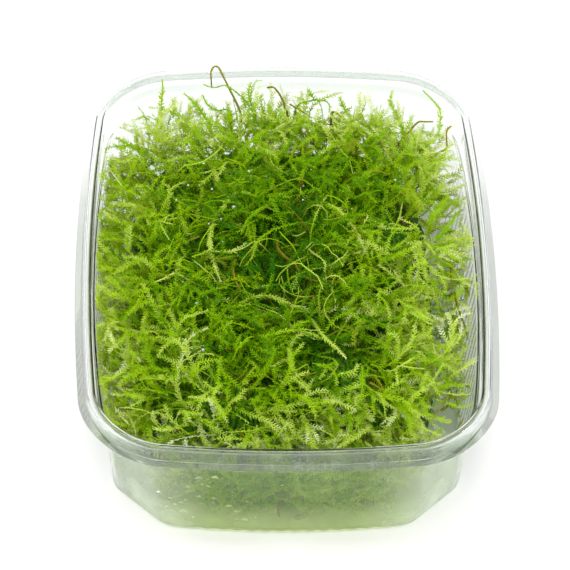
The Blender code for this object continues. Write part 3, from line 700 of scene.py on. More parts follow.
def addFrond(lines, chance, root, heading, length, tone, aged, size, curl, branches, follow):
    main = runLine(chance, root, heading, length, curl, follow)
    if len(main) < 3:
        return
    roll = chance.gauss(0.0, growth["rollChange"])
    lines.append(dressLine(main, tone, aged, size, roll))
    for _ in range(branches):
        at = chance.randint(1, len(main) - 2)
        along = (main[at + 1] - main[at - 1]).normalized()
        sideways = along.cross(Vector((0.0, 0.0, 1.0)))
        if sideways.length < 0.2:
            sideways = Vector((1.0, 0.0, 0.0))
        sideways = sideways.normalized() * chance.choice((-1.0, 1.0))
        sideways += Vector((0.0, 0.0, chance.gauss(*growth["sideways"])))
        away = along * growth["branchAlong"] + sideways * chance.uniform(*growth["branchOut"])
        branch = runLine(chance, main[at], away, length * chance.uniform(*growth["branchLength"]), curl, follow)
        if len(branch) > 2:
            lines.append(dressLine(branch, tone + chance.uniform(*growth["branchTone"]), aged,
                                   size * growth["branchLeaf"], roll, thick=growth["branchThick"]))


def frontWall(x, z):
    # place and outward normal of the front wall's inner face
    def at(x, z):
        halfX, halfY, cutX, cutY, bowX, bowY = sectionAt(z)
        straight = halfX - cutX
        return -(halfY + bowOf(x, straight, bowY) - ribInset(x, tub["endRibs"], tub["ribDepth"]) * tub["endShare"])
    y, step = at(x, z), 0.05
    slopeX, slopeZ = (at(x + step, z) - y) / step, (at(x, z + step) - y) / step
    return Vector((x, y, z)), Vector((-slopeX, 1.0, -slopeZ)).normalized()


strandSteps = 5                                          # between two points of a route


def smoothRoute(points):
    route = [Vector(point) for point in points]
    padded = [2 * route[0] - route[1]] + route + [2 * route[-1] - route[-2]]
    smooth = []
    for i in range(1, len(padded) - 2):
        a, b, c, d = padded[i - 1:i + 3]
        for step in range(strandSteps):
            t = step / strandSteps
            smooth.append(0.5 * (2 * b + (c - a) * t + (2 * a - 5 * b + 4 * c - d) * t ** 2
                                 + (3 * b - a - 3 * c + d) * t ** 3))
    return smooth + [route[-1]]


# Single shoots and stems of the clump that can be made out in the photo: their kind, then their route.
# For each kind: how thick the stem, how big the leaves, how light and how browned.
strayKinds = {
    "leafy": (1.1, 1.1, 0.50, 0.0), "green": (1.1, 1.0, 0.36, 0.0), "pale": (1.1, 1.05, 0.62, 0.0),
    "wiry": (1.5, 0.55, 0.50, 0.1), "stem": (1.9, 0.5, 0.42, 0.15), "olive": (1.5, 0.6, 0.45, 0.5),
    "brown": (1.7, 0.25, 0.45, 0.8), "rust": (2.0, 0.8, 0.4, 1.0),
}
strays = (
    ("leafy", ((-22.3, 37.7, 28.0), (-22.1, 38.6, 30.0), (-21.9, 39.7, 32.0))),
    ("leafy", ((-18.4, 32.7, 29.0), (-20.2, 36.4, 29.3), (-21.7, 37.9, 29.0), (-24.9, 39.9, 28.5),
        (-27.2, 40.8, 28.0))),
    ("leafy", ((-24.1, 35.9, 27.0), (-25.9, 37.7, 27.5), (-27.6, 38.3, 28.0))),
    ("leafy", ((-24.9, 32.3, 26.5), (-26.5, 34.7, 27.0), (-28.2, 36.8, 27.5))),
    ("green", ((-28.8, 24.9, 26.5), (-31.9, 26.8, 26.0), (-35.1, 27.6, 25.5))),
    ("leafy", ((-31.9, 19.7, 26.0), (-34.8, 22.1, 25.6), (-36.8, 24.1, 25.3))),
    ("green", ((-31.8, 12.8, 26.0), (-34.6, 13.6, 25.3), (-36.8, 13.6, 25.0))),
    ("leafy", ((-7.5, 39.6, 29.0), (-8.1, 40.7, 30.5), (-8.2, 41.2, 32.0))),
    ("leafy", ((-4.0, 38.5, 29.0), (-4.4, 39.5, 30.5), (-4.5, 40.3, 32.0))),
    ("green", ((6.5, 39.1, 31.5), (5.7, 40.3, 32.3), (5.0, 41.0, 33.0))),
    ("leafy", ((16.8, 34.3, 28.0), (15.8, 35.7, 30.0), (14.9, 36.8, 32.0))),
    ("leafy", ((19.2, 32.2, 28.0), (18.0, 33.9, 29.5), (17.6, 35.2, 30.5))),
    ("leafy", ((24.5, 33.1, 28.0), (25.5, 34.8, 29.5), (26.3, 35.5, 31.0))),
    ("leafy", ((27.3, 27.9, 27.5), (27.1, 29.8, 29.0), (26.7, 31.1, 30.0))),
    ("leafy", ((28.0, 20.7, 27.0), (29.4, 21.6, 27.5), (30.8, 22.0, 28.0))),
    ("green", ((28.7, 17.9, 27.0), (30.3, 19.3, 27.0), (31.5, 20.0, 27.0))),
    ("leafy", ((28.1, 14.3, 27.0), (29.8, 15.9, 27.3), (31.0, 17.0, 27.6))),
    ("leafy", ((29.1, 9.8, 27.0), (30.6, 12.6, 27.5), (32.4, 15.1, 28.0))),
    ("leafy", ((29.9, 2.4, 27.0), (33.4, 4.8, 26.2), (36.3, 6.2, 25.6))),
    ("leafy", ((29.6, 0.3, 27.0), (32.2, 2.5, 26.5), (35.1, 4.4, 26.0))),
    ("leafy", ((30.0, -3.2, 27.0), (32.6, -0.7, 26.3), (35.8, 2.0, 25.6))),
    ("leafy", ((31.2, -4.3, 27.0), (33.1, -4.9, 26.3), (34.6, -5.7, 25.8))),
    ("leafy", ((31.2, -11.3, 26.5), (33.4, -9.3, 26.0), (34.6, -6.3, 26.0))),
    ("leafy", ((27.5, -25.2, 27.0), (30.2, -23.0, 26.4), (35.4, -17.5, 25.4))),
    ("leafy", ((28.2, -30.3, 27.0), (31.2, -27.2, 26.3), (34.7, -22.3, 25.6))),
    ("olive", ((28.2, -32.8, 27.0), (30.6, -30.5, 26.4), (33.5, -27.9, 25.7), (35.7, -26.2, 25.2))),
    ("leafy", ((27.0, -34.6, 27.0), (29.7, -33.4, 26.5), (34.6, -31.8, 25.3))),
    ("leafy", ((27.3, -37.1, 27.0), (30.2, -37.7, 26.3), (32.2, -37.9, 25.6), (34.7, -36.4, 25.0))),
    ("leafy", ((24.5, -40.5, 27.5), (26.9, -41.5, 27.0), (30.3, -41.9, 26.0))),
    ("leafy", ((21.7, -43.4, 28.0), (24.3, -44.4, 27.5), (28.1, -45.8, 26.5))),
    ("brown", ((31.7, -42.7, 25.8), (32.2, -41.7, 25.7), (32.8, -40.6, 25.6))),
    ("brown", ((29.7, -36.8, 26.9), (28.3, -39.7, 27.4), (26.6, -42.7, 27.6))),
    ("brown", ((24.0, -37.9, 25.0), (23.1, -39.6, 24.7), (22.5, -40.7, 24.3))),
    ("wiry", ((-28.0, -31.2, 26.4), (-26.8, -33.9, 26.7), (-24.6, -35.5, 27.5), (-22.7, -36.6, 27.7))),
    ("wiry", ((-29.0, -34.0, 24.0), (-27.1, -35.9, 25.3), (-24.3, -36.6, 27.0))),
    ("brown", ((-25.6, -24.7, 28.3), (-23.9, -25.7, 29.0), (-22.8, -27.0, 29.5), (-21.6, -29.4, 29.8))),
    ("pale", ((-16.1, -34.1, 28.8), (-14.6, -35.6, 28.5), (-12.9, -36.8, 28.5))),
    ("green", ((-15.2, -31.3, 29.9), (-13.7, -34.2, 29.0), (-11.8, -36.9, 28.7))),
    ("pale", ((-3.1, -31.8, 30.1), (-2.4, -33.1, 29.9), (-1.5, -34.0, 29.6))),
    ("pale", ((-1.8, -38.3, 28.5), (-2.8, -40.5, 27.3), (-2.1, -42.1, 26.0))),
    ("pale", ((-15.7, -42.2, 25.9), (-13.9, -43.0, 25.6), (-12.6, -43.7, 25.0), (-11.4, -44.2, 24.4))),
    ("pale", ((-6.1, -42.3, 25.7), (-5.9, -43.4, 24.6), (-5.7, -44.3, 23.4))),
    ("brown", ((-22.7, -42.1, 22.3), (-21.4, -42.7, 22.7), (-20.1, -43.1, 23.1))),
    ("brown", ((-9.2, -43.5, 24.8), (-8.6, -44.1, 24.1), (-8.3, -44.5, 23.4))),
    ("brown", ((-23.0, -0.1, 30.2), (-21.4, -0.5, 30.8), (-19.9, -0.6, 31.5), (-16.8, 0.1, 32.4))),
    ("pale", ((-18.3, -4.7, 31.7), (-15.0, -3.8, 32.1), (-10.3, -2.8, 31.4), (-7.6, 0.3, 30.4))),
    ("wiry", ((-7.9, 1.9, 30.6), (-6.9, 6.2, 31.4), (-5.6, 7.7, 31.7), (-4.0, 8.7, 31.8), (-1.6, 8.1, 31.1))),
    ("pale", ((-9.2, -16.7, 30.9), (-6.8, -14.4, 30.7), (-3.3, -13.0, 29.6), (-1.3, -13.3, 28.5), (3.3, -14.1, 26.8),
        (7.7, -15.8, 28.0), (9.6, -15.3, 28.9))),
    ("pale", ((-15.7, -16.1, 31.2), (-13.5, -15.5, 31.1), (-11.3, -15.3, 31.1))),
    ("leafy", ((-21.1, 5.6, 31.2), (-20.1, 3.7, 31.4), (-19.0, 1.4, 31.8))),
    ("leafy", ((-8.0, -11.8, 31.1), (-5.8, -11.7, 30.7), (-3.3, -10.3, 29.6))),
    ("pale", ((17.5, -12.9, 31.7), (18.9, -14.4, 31.3), (19.9, -15.4, 31.1), (20.7, -17.9, 30.9))),
    ("pale", ((15.7, 5.8, 31.4), (17.5, 4.9, 31.2), (19.6, 3.3, 31.2))),
    ("pale", ((12.6, -20.7, 29.7), (15.0, -19.4, 30.2), (17.6, -18.4, 30.8))),
    ("pale", ((17.9, -21.9, 30.3), (20.6, -21.8, 30.8), (23.2, -21.8, 30.9))),
    ("leafy", ((19.5, -5.0, 31.1), (22.1, -3.5, 31.2), (24.6, -1.9, 31.1), (26.2, 0.3, 30.6))),
    ("leafy", ((20.3, -2.6, 31.2), (22.1, -1.0, 31.4), (23.9, 1.0, 31.3))),
    ("wiry", ((20.5, 2.4, 31.2), (22.2, 6.3, 30.9), (23.2, 11.7, 30.0))),
    ("pale", ((22.4, -12.9, 30.3), (25.3, -10.3, 29.2), (27.6, -8.4, 28.6))),
    ("leafy", ((22.9, -19.8, 30.9), (25.0, -17.7, 30.0), (27.3, -15.5, 28.7))),
    ("stem", ((13.3, -16.5, 30.5), (11.2, -19.9, 29.5), (9.1, -24.3, 29.7), (8.4, -27.5, 29.6))),
    ("leafy", ((9.2, -32.9, 29.2), (11.0, -33.0, 29.8), (12.4, -32.9, 30.2), (13.2, -31.4, 30.4))),
    ("leafy", ((11.2, -36.6, 29.1), (12.4, -36.2, 29.5), (13.6, -35.8, 29.9))),
    ("pale", ((5.3, -36.2, 27.8), (7.0, -36.4, 28.0), (8.6, -37.4, 28.1), (10.0, -38.6, 28.0))),
    ("pale", ((2.8, -37.6, 27.7), (3.6, -35.4, 27.9), (4.6, -33.1, 28.3))),
    ("pale", ((0.6, -32.7, 29.0), (1.7, -33.9, 28.5), (2.9, -35.2, 28.1))),
    ("pale", ((2.1, -39.8, 27.3), (2.8, -42.1, 26.3), (2.3, -44.0, 24.8))),
    ("pale", ((3.3, -42.1, 26.3), (4.4, -43.4, 25.5), (5.4, -44.4, 24.6))),
    ("stem", ((7.1, -39.6, 27.3), (8.6, -41.1, 26.8), (10.2, -42.6, 25.7))),
    ("pale", ((-0.8, -38.6, 28.1), (-0.0, -41.1, 26.8), (0.7, -43.4, 25.2))),
    ("brown", ((15.1, -35.6, 30.0), (16.7, -36.3, 29.5), (18.2, -37.2, 28.6))),
    ("brown", ((16.0, -34.2, 30.3), (17.1, -35.6, 29.7), (17.8, -36.8, 28.9))),
    ("pale", ((16.9, -25.0, 30.0), (18.3, -26.6, 30.3), (19.9, -28.7, 30.2))),
    ("wiry", ((21.9, -26.6, 30.4), (24.0, -26.1, 30.1), (26.1, -25.2, 29.6))),
    ("green", ((28.2, -29.9, 26.8), (29.8, -28.7, 26.6), (30.4, -26.9, 26.6), (30.4, -25.1, 26.6))),
    ("brown", ((13.6, 24.4, 30.6), (15.6, 25.4, 30.5), (17.3, 26.0, 30.5), (18.9, 27.7, 30.5), (19.8, 29.1, 30.2),
        (20.3, 32.4, 29.4))),
    ("brown", ((1.4, 38.7, 31.0), (3.0, 37.3, 31.0), (4.6, 35.6, 31.2), (5.8, 34.7, 31.0))),
    ("rust", ((-32.6, -21.9, 23.4), (-32.0, -23.5, 24.1), (-31.8, -24.5, 24.1))),
    ("rust", ((-29.2, -25.1, 26.4), (-28.7, -26.6, 26.6), (-28.1, -27.8, 26.9))),
    ("rust", ((-28.2, -28.4, 26.7), (-27.8, -29.8, 26.8), (-28.4, -30.3, 26.2))),
    ("rust", ((-31.5, -29.1, 22.4), (-30.9, -30.5, 22.7), (-30.5, -31.7, 22.7))),
    ("rust", ((-25.9, -32.9, 27.8), (-25.3, -33.7, 27.9), (-25.3, -34.5, 27.6))),
    ("leafy", ((-27.0, 37.7, 27.5), (-28.6, 38.6, 27.5), (-30.0, 37.9, 27.3))),
)


def flowAt(x, y):
    place = Vector((x, y, 4.0)) / clump["flowSize"]
    return Vector((noise.noise(place), noise.noise(place + Vector((31.4, 17.2, 5.1))), 0.0))


def growTopShoots(chance, regionOf):
    for _ in range(clump["topShoots"]):
        while True:
            x = chance.uniform(-clump["left"], clump["right"])
            y = chance.uniform(-clump["front"], clump["back"])
            reach = planReach(x, y)
            if reach < clump["topReach"] and chance.random() > sparseness(x, y):
                break
        atBack = smoothStep(clump["backFrom"], clump["backTo"], y)
        deep = chance.random()
        z = clumpTop(x, y) - (clump["topSunk"][0] + clump["topSunk"][1] * deep ** 1.5)
        halfX, halfY = halvesAt(x, y)
        outward = Vector((x / halfX, y / halfY, 0.0))
        strength = clump["lean"] + clump["edgeLean"] * reach ** 2 + clump["backLean"] * atBack
        flow = flowAt(x, y)
        jitter = Vector((chance.gauss(0, 1), chance.gauss(0, 1), 0.0)) * (0.55 - 0.25 * reach)
        if x > clump["rightFrom"]:
            outward.x *= clump["rightLean"]
        heading = outward * strength + Vector((flow.x, flow.y, 0.0)) * clump["flow"] + jitter * 0.75
        heading.z = chance.uniform(0.0, 0.6) + 0.5 * atBack
        # painted light and shade: the tone is lighter towards the edge and the right (paler moss and painted light),
        # and darker in the hollow, in the shaded patch and deep down (painted shade)
        tone = clump["topTone"] + clump["edgePaleAndLitTone"] * reach ** 2.2 + clump["acrossPaleAndLitTone"] * x / halfX
        tone += clump["hollowShadeTone"] * inHollow(x, y)
        tone += (chance.gauss(0.0, clump["toneChange"]) + clump["deepShadeTone"] * deep
                 + (clump["paleTone"] if chance.random() < clump["paleShare"] else 0.0))
        tone -= clump["shadeTone"] * inHollow(x, y, "shade")
        aged = max(0.0, chance.gauss(-0.25, 0.28))
        length = chance.uniform(*clump["topLength"]) * (1.0 - 0.25 * atBack)
        addFrond(regionOf(x, y), chance, Vector((x, y, z)), heading, length, tone, aged, 1.0, 1.0,
                 chance.randint(*clump["branches"]), 1.0 - 0.75 * smoothStep(20.0, 34.0, y))


def growStems(chance, regionOf):
    for number in range(clump["wiryStems"] + clump["brownStems"]):
        brown = number >= clump["wiryStems"]
        spread = clump["stemSpread"]
        spot = Vector((chance.gauss(0, spread) * clump["left"], chance.gauss(-0.05, spread) * clump["back"], 0.0))
        if planReach(spot.x, spot.y) > clump["stemReach"]:
            continue
        spot.z = clumpTop(spot.x, spot.y) + chance.uniform(-1.6, 0.6)
        angle = chance.uniform(0.0, 2 * math.pi)
        route = runLine(chance, spot, Vector((math.cos(angle), math.sin(angle), 0.15)),
                        chance.uniform(4.0, 9.0) if brown else chance.uniform(8.0, 22.0), 2.4)
        if len(route) > 2:
            regionOf(spot.x, spot.y).append(
                dressLine(route, 0.4 if brown else chance.uniform(0.42, 0.66), 0.8 if brown else 0.0,
                          0.0 if brown else chance.choice((0.0, 0.45, 0.6)), 0.0, thick=1.3 if brown else 1.1))


def growStrays(chance, regionOf):
    for kind, points in strays:
        thick, leafSize, tone, aged = strayKinds[kind]
        middle = points[len(points) // 2]
        line = dressLine(smoothRoute(points), tone, aged, leafSize, chance.gauss(0, 0.3), thick=thick)
        line["traced"] = True
        regionOf(middle[0], middle[1]).append(line)


def growWallShoots(chance, regionOf):
    front = -clump["front"]
    for _ in range(clump["wallShoots"]):
        x, z = chance.uniform(-clump["wallSpan"], clump["wallSpan"]), chance.uniform(clump["wallFrom"], clump["wallTo"])
        if z < clump["wallFrom"] + clump["archRise"] * smoothStep(clump["archFrom"], clump["wallSpan"], abs(x)):
            continue
        place, inward = frontWall(x, z)
        root = place + inward * chance.uniform(*clump["wallOff"])
        heading = Vector((chance.gauss(0, 0.8), 0.0, chance.gauss(-0.2, 0.9)))
        points = runLine(chance, root, heading, chance.uniform(*clump["wallLength"]), 0.9, follow=0.0)
        points = [Vector((p.x, p.y, max(p.z, clump["wallLowest"]))) for p in points]
        if len(points) > 2:
            tone, aged = clump["wallTone"] + chance.gauss(0, clump["wallToneChange"]), max(0.0, chance.gauss(-0.3, 0.3))
            regionOf(x, front).append(dressLine(points, tone, aged, 1.0, math.pi / 2 + chance.gauss(0.0, 0.4)))
    for x, z, tone, aged in clump["wallBits"]:
        place, inward = frontWall(x, z)
        points = [place + inward * (0.9 + 0.3 * i) + Vector((0.9 * i, 0.0, 0.35 * i)) for i in range(4)]
        regionOf(x, front).append(dressLine(points, tone, aged, 1.1, math.pi / 2, thick=1.8))


def growSideShoots(chance, regionOf):
    for _ in range(clump["sideShoots"]):
        angle = chance.uniform(0.0, 2 * math.pi)
        z = chance.uniform(clump["sideFrom"], clump["sideTo"])
        scale = max(0.0, 1.0 - ((z - clump["edgeZ"]) / clump["rise"]) ** 2) ** (1 / clump["shoulder"])
        back = 0.0
        for (highZ, highScale, highBack), (lowZ, lowScale, lowBack) in zip(clump["under"][:-1], clump["under"][1:]):
            if lowZ <= z < highZ:
                t = (z - lowZ) / (highZ - lowZ)
                scale, back = lowScale + (highScale - lowScale) * t, lowBack + (highBack - lowBack) * t
        u, v = math.cos(angle), math.sin(angle)
        dropped = clump["backRightDropped" if v > 0.0 else "rightDropped"]
        if u > clump["rightTurn"] and z > clump["rightHeight"] and chance.random() < dropped:
            continue
        halfX, halfY = halvesAt(u, v)
        scale *= chance.uniform(clump["sideIn"], 1.0) / roundedReach(u, v)
        x, y = u * scale * halfX, v * scale * halfY
        y += back * max(0.0, -v)
        around = Vector((-v * halfX, u * halfY, 0.0)).normalized() * chance.choice((-1, 1))
        heading = around * chance.uniform(0.4, 1.0) + Vector((u, v, 0.0)) * 0.25
        heading += Vector((0, 0, chance.gauss(0.1, 0.6)))
        points = runLine(chance, Vector((x, y, z)), heading, chance.uniform(*clump["sideLength"]), 1.3, follow=0.0)
        if len(points) > 2:
            # painted light: the side shoots are given a lighter tone towards the front, where light comes in through
            # the wall
            tone = clump["sideTone"] + clump["frontLitTone"] * smoothStep(30.0, 42.0, -y)
            tone += chance.gauss(0, clump["sideToneChange"])
            regionOf(x, y).append(dressLine(points, tone, max(0.0, chance.gauss(-0.2, 0.3)),
                                            0.95, chance.gauss(1.2, 0.5)))


def inGap(point):
    # the free front right corner, followed down along the line of sight
    back = clump["gapPlace"][1] + (clump["gapHeight"] - point.z) * clump["sightSlope"]
    return math.hypot(point.x - clump["gapPlace"][0], point.y - back) < clump["gapReach"]


def growClump():
    chance = random.Random(clump["seed"])
    regions = {"moss_%s_%s" % (row, side): [] for row in ("back", "middle", "front") for side in ("left", "right")}

    def regionOf(x, y):
        row = "back" if y > 15.0 else "front" if y < -15.0 else "middle"
        return regions["moss_%s_%s" % (row, "left" if x < 0.0 else "right")]

    for grow in (growTopShoots, growStems, growStrays, growWallShoots, growSideShoots):
        grow(chance, regionOf)
    for number, (name, lines) in enumerate(regions.items()):
        lines = [line for line in lines if "traced" in line or not any(inGap(point) for point in line["points"])]
        mesh = growShoots(name, lines, mossMaterial, Seed=number * 10)
        newPiece(name, mesh, mossMaterial, "moss", "moss_clump")
        print(name, len(lines), "shoots,", sum(len(face.vertices) - 2 for face in mesh.polygons), "triangles")


growClump()


# The dark tangle deep inside the clump, seen only between the shoots; its dark colour is partly the old stems' own and
# partly painted shade

depths = {
    "sunk": 4.0, "shrink": 0.91, "shrinkRight": 0.87, "across": 80, "along": 108,
    "skirt": ((8.6, 3.0), (6.4, 7.0), (4.0, 10.0), (1.8, 12.0)), "skirtIn": 0.965,      # height, set back in front
    "rough": 1.5, "knots": 4.5, "fineKnots": 1.7, "grain": 0.55, "patchSize": 7.0,
    # the dark colour is partly painted shade; the flank colour is painted light
    "colour": "#234a02", "light": "#4a7c08", "brown": "#4a3c08", "litFlank": "#c8d7a0",
}


def buildDepths():
    work = bmesh.new()
    bmesh.ops.create_grid(work, x_segments=depths["across"], y_segments=depths["along"], size=1.0)
    for vertex in work.verts:
        u, v = vertex.co.x, vertex.co.y
        rounding = max(abs(u), abs(v)) / max(roundedReach(u, v), 1e-6)
        halfX, halfY = halvesAt(u, v)
        x, y = u * rounding * halfX, v * rounding * halfY
        inX = depths["shrinkRight" if x > 0.0 else "shrink"]
        vertex.co = Vector((x * inX, y * depths["shrink"], clumpTop(x, y) - depths["sunk"])) * mm
    edge = [line for line in work.edges if line.is_boundary]
    last = 0.0
    for height, shift in depths["skirt"]:
        grown = bmesh.ops.extrude_edge_only(work, edges=edge)["geom"]
        edge = [item for item in grown if isinstance(item, bmesh.types.BMEdge) and item.is_boundary]
        for vertex in {corner for line in edge for corner in line.verts}:
            forward = max(0.0, -vertex.co.y / mm / clump["front"])
            vertex.co.x *= depths["skirtIn"]
            vertex.co.y = vertex.co.y * depths["skirtIn"] + forward * (shift - last) * mm
            vertex.co.z = height * mm
        last = shift
    bmesh.ops.contextual_create(work, geom=edge)
    bmesh.ops.recalc_face_normals(work, faces=work.faces[:])
    for vertex in work.verts:                            # knotted, not smooth
        lump = noise.noise(vertex.co / (depths["knots"] * mm))
        lump += 0.6 * noise.noise(vertex.co / (depths["fineKnots"] * mm))
        vertex.co += vertex.normal * min(0.0, lump - 0.2) * depths["rough"] * mm
    mesh = smoothMesh(work, "moss_depths")
    newPiece("moss_depths", mesh, makeMattedMaterial(), "moss", "moss_clump")
    print("moss_depths:", len(mesh.polygons), "faces")


# Old moss stems matted together: dull, dark green going brown and streaked by single stems, the dark green partly
# painted shade.
# Low down in front the colour is painted paler, painted light for the light that falls on it through the wall
def makeMattedMaterial():
    material, tree = newMaterial("matted moss stems")
    where = addNode(tree, "ShaderNodeTexCoord").outputs["Object"]
    streaks = addNode(tree, "ShaderNodeTexWave", {"Vector": where, "Scale": 1000.0 / (6.28 * depths["grain"]),
                                                  "Distortion": 14.0, "Detail": 3.0})
    patches = addNode(tree, "ShaderNodeTexNoise",
                      {"Vector": where, "Scale": 1000.0 / depths["patchSize"], "Detail": 3.0})
    green = addNode(tree, "ShaderNodeMix", {0: streaks.outputs["Fac"], 6: linear(depths["colour"]),
                                            7: linear(depths["light"])}, data_type="RGBA")
    browned = addNode(tree, "ShaderNodeMapRange", {"Value": patches.outputs["Fac"], "From Min": 0.6, "From Max": 0.8})
    colour = addNode(tree, "ShaderNodeMix", {0: browned.outputs[0], 6: green.outputs[2], 7: linear(depths["brown"])},
                     data_type="RGBA")
    parts = addNode(tree, "ShaderNodeSeparateXYZ", {"Vector": where})
    inFront = addNode(tree, "ShaderNodeMapRange",
                      {"Value": parts.outputs["Y"], "From Min": -0.036, "From Max": -0.041, "To Max": 1.0})
    lowDown = addNode(tree, "ShaderNodeMapRange",
                      {"Value": parts.outputs["Z"], "From Min": 0.019, "From Max": 0.013, "To Max": 1.0})
    litFlank = addNode(tree, "ShaderNodeMath", {0: inFront.outputs[0], 1: lowDown.outputs[0]}, operation="MULTIPLY")
    litFlankColour = addNode(tree, "ShaderNodeMix", {0: litFlank.outputs[0], 6: colour.outputs[2], 7: linear(depths["litFlank"])},
                      data_type="RGBA")
    bump = addNode(tree, "ShaderNodeBump", {"Height": streaks.outputs["Fac"], "Distance": 0.0004, "Strength": 0.9})
    shader = addNode(tree, "ShaderNodeBsdfPrincipled", {"Base Color": litFlankColour.outputs[2], "Roughness": 0.85,
                                                        "Specular IOR Level": 0.15, "Normal": bump.outputs[0]})
    addNode(tree, "ShaderNodeOutputMaterial", {"Surface": shader.outputs[0]})
    return material


buildDepths()


# The long shoots and stems that stand or lie clear of the clump.
# For each: how thick its stem is, its leaf size, its tone and how browned it is, then its route.

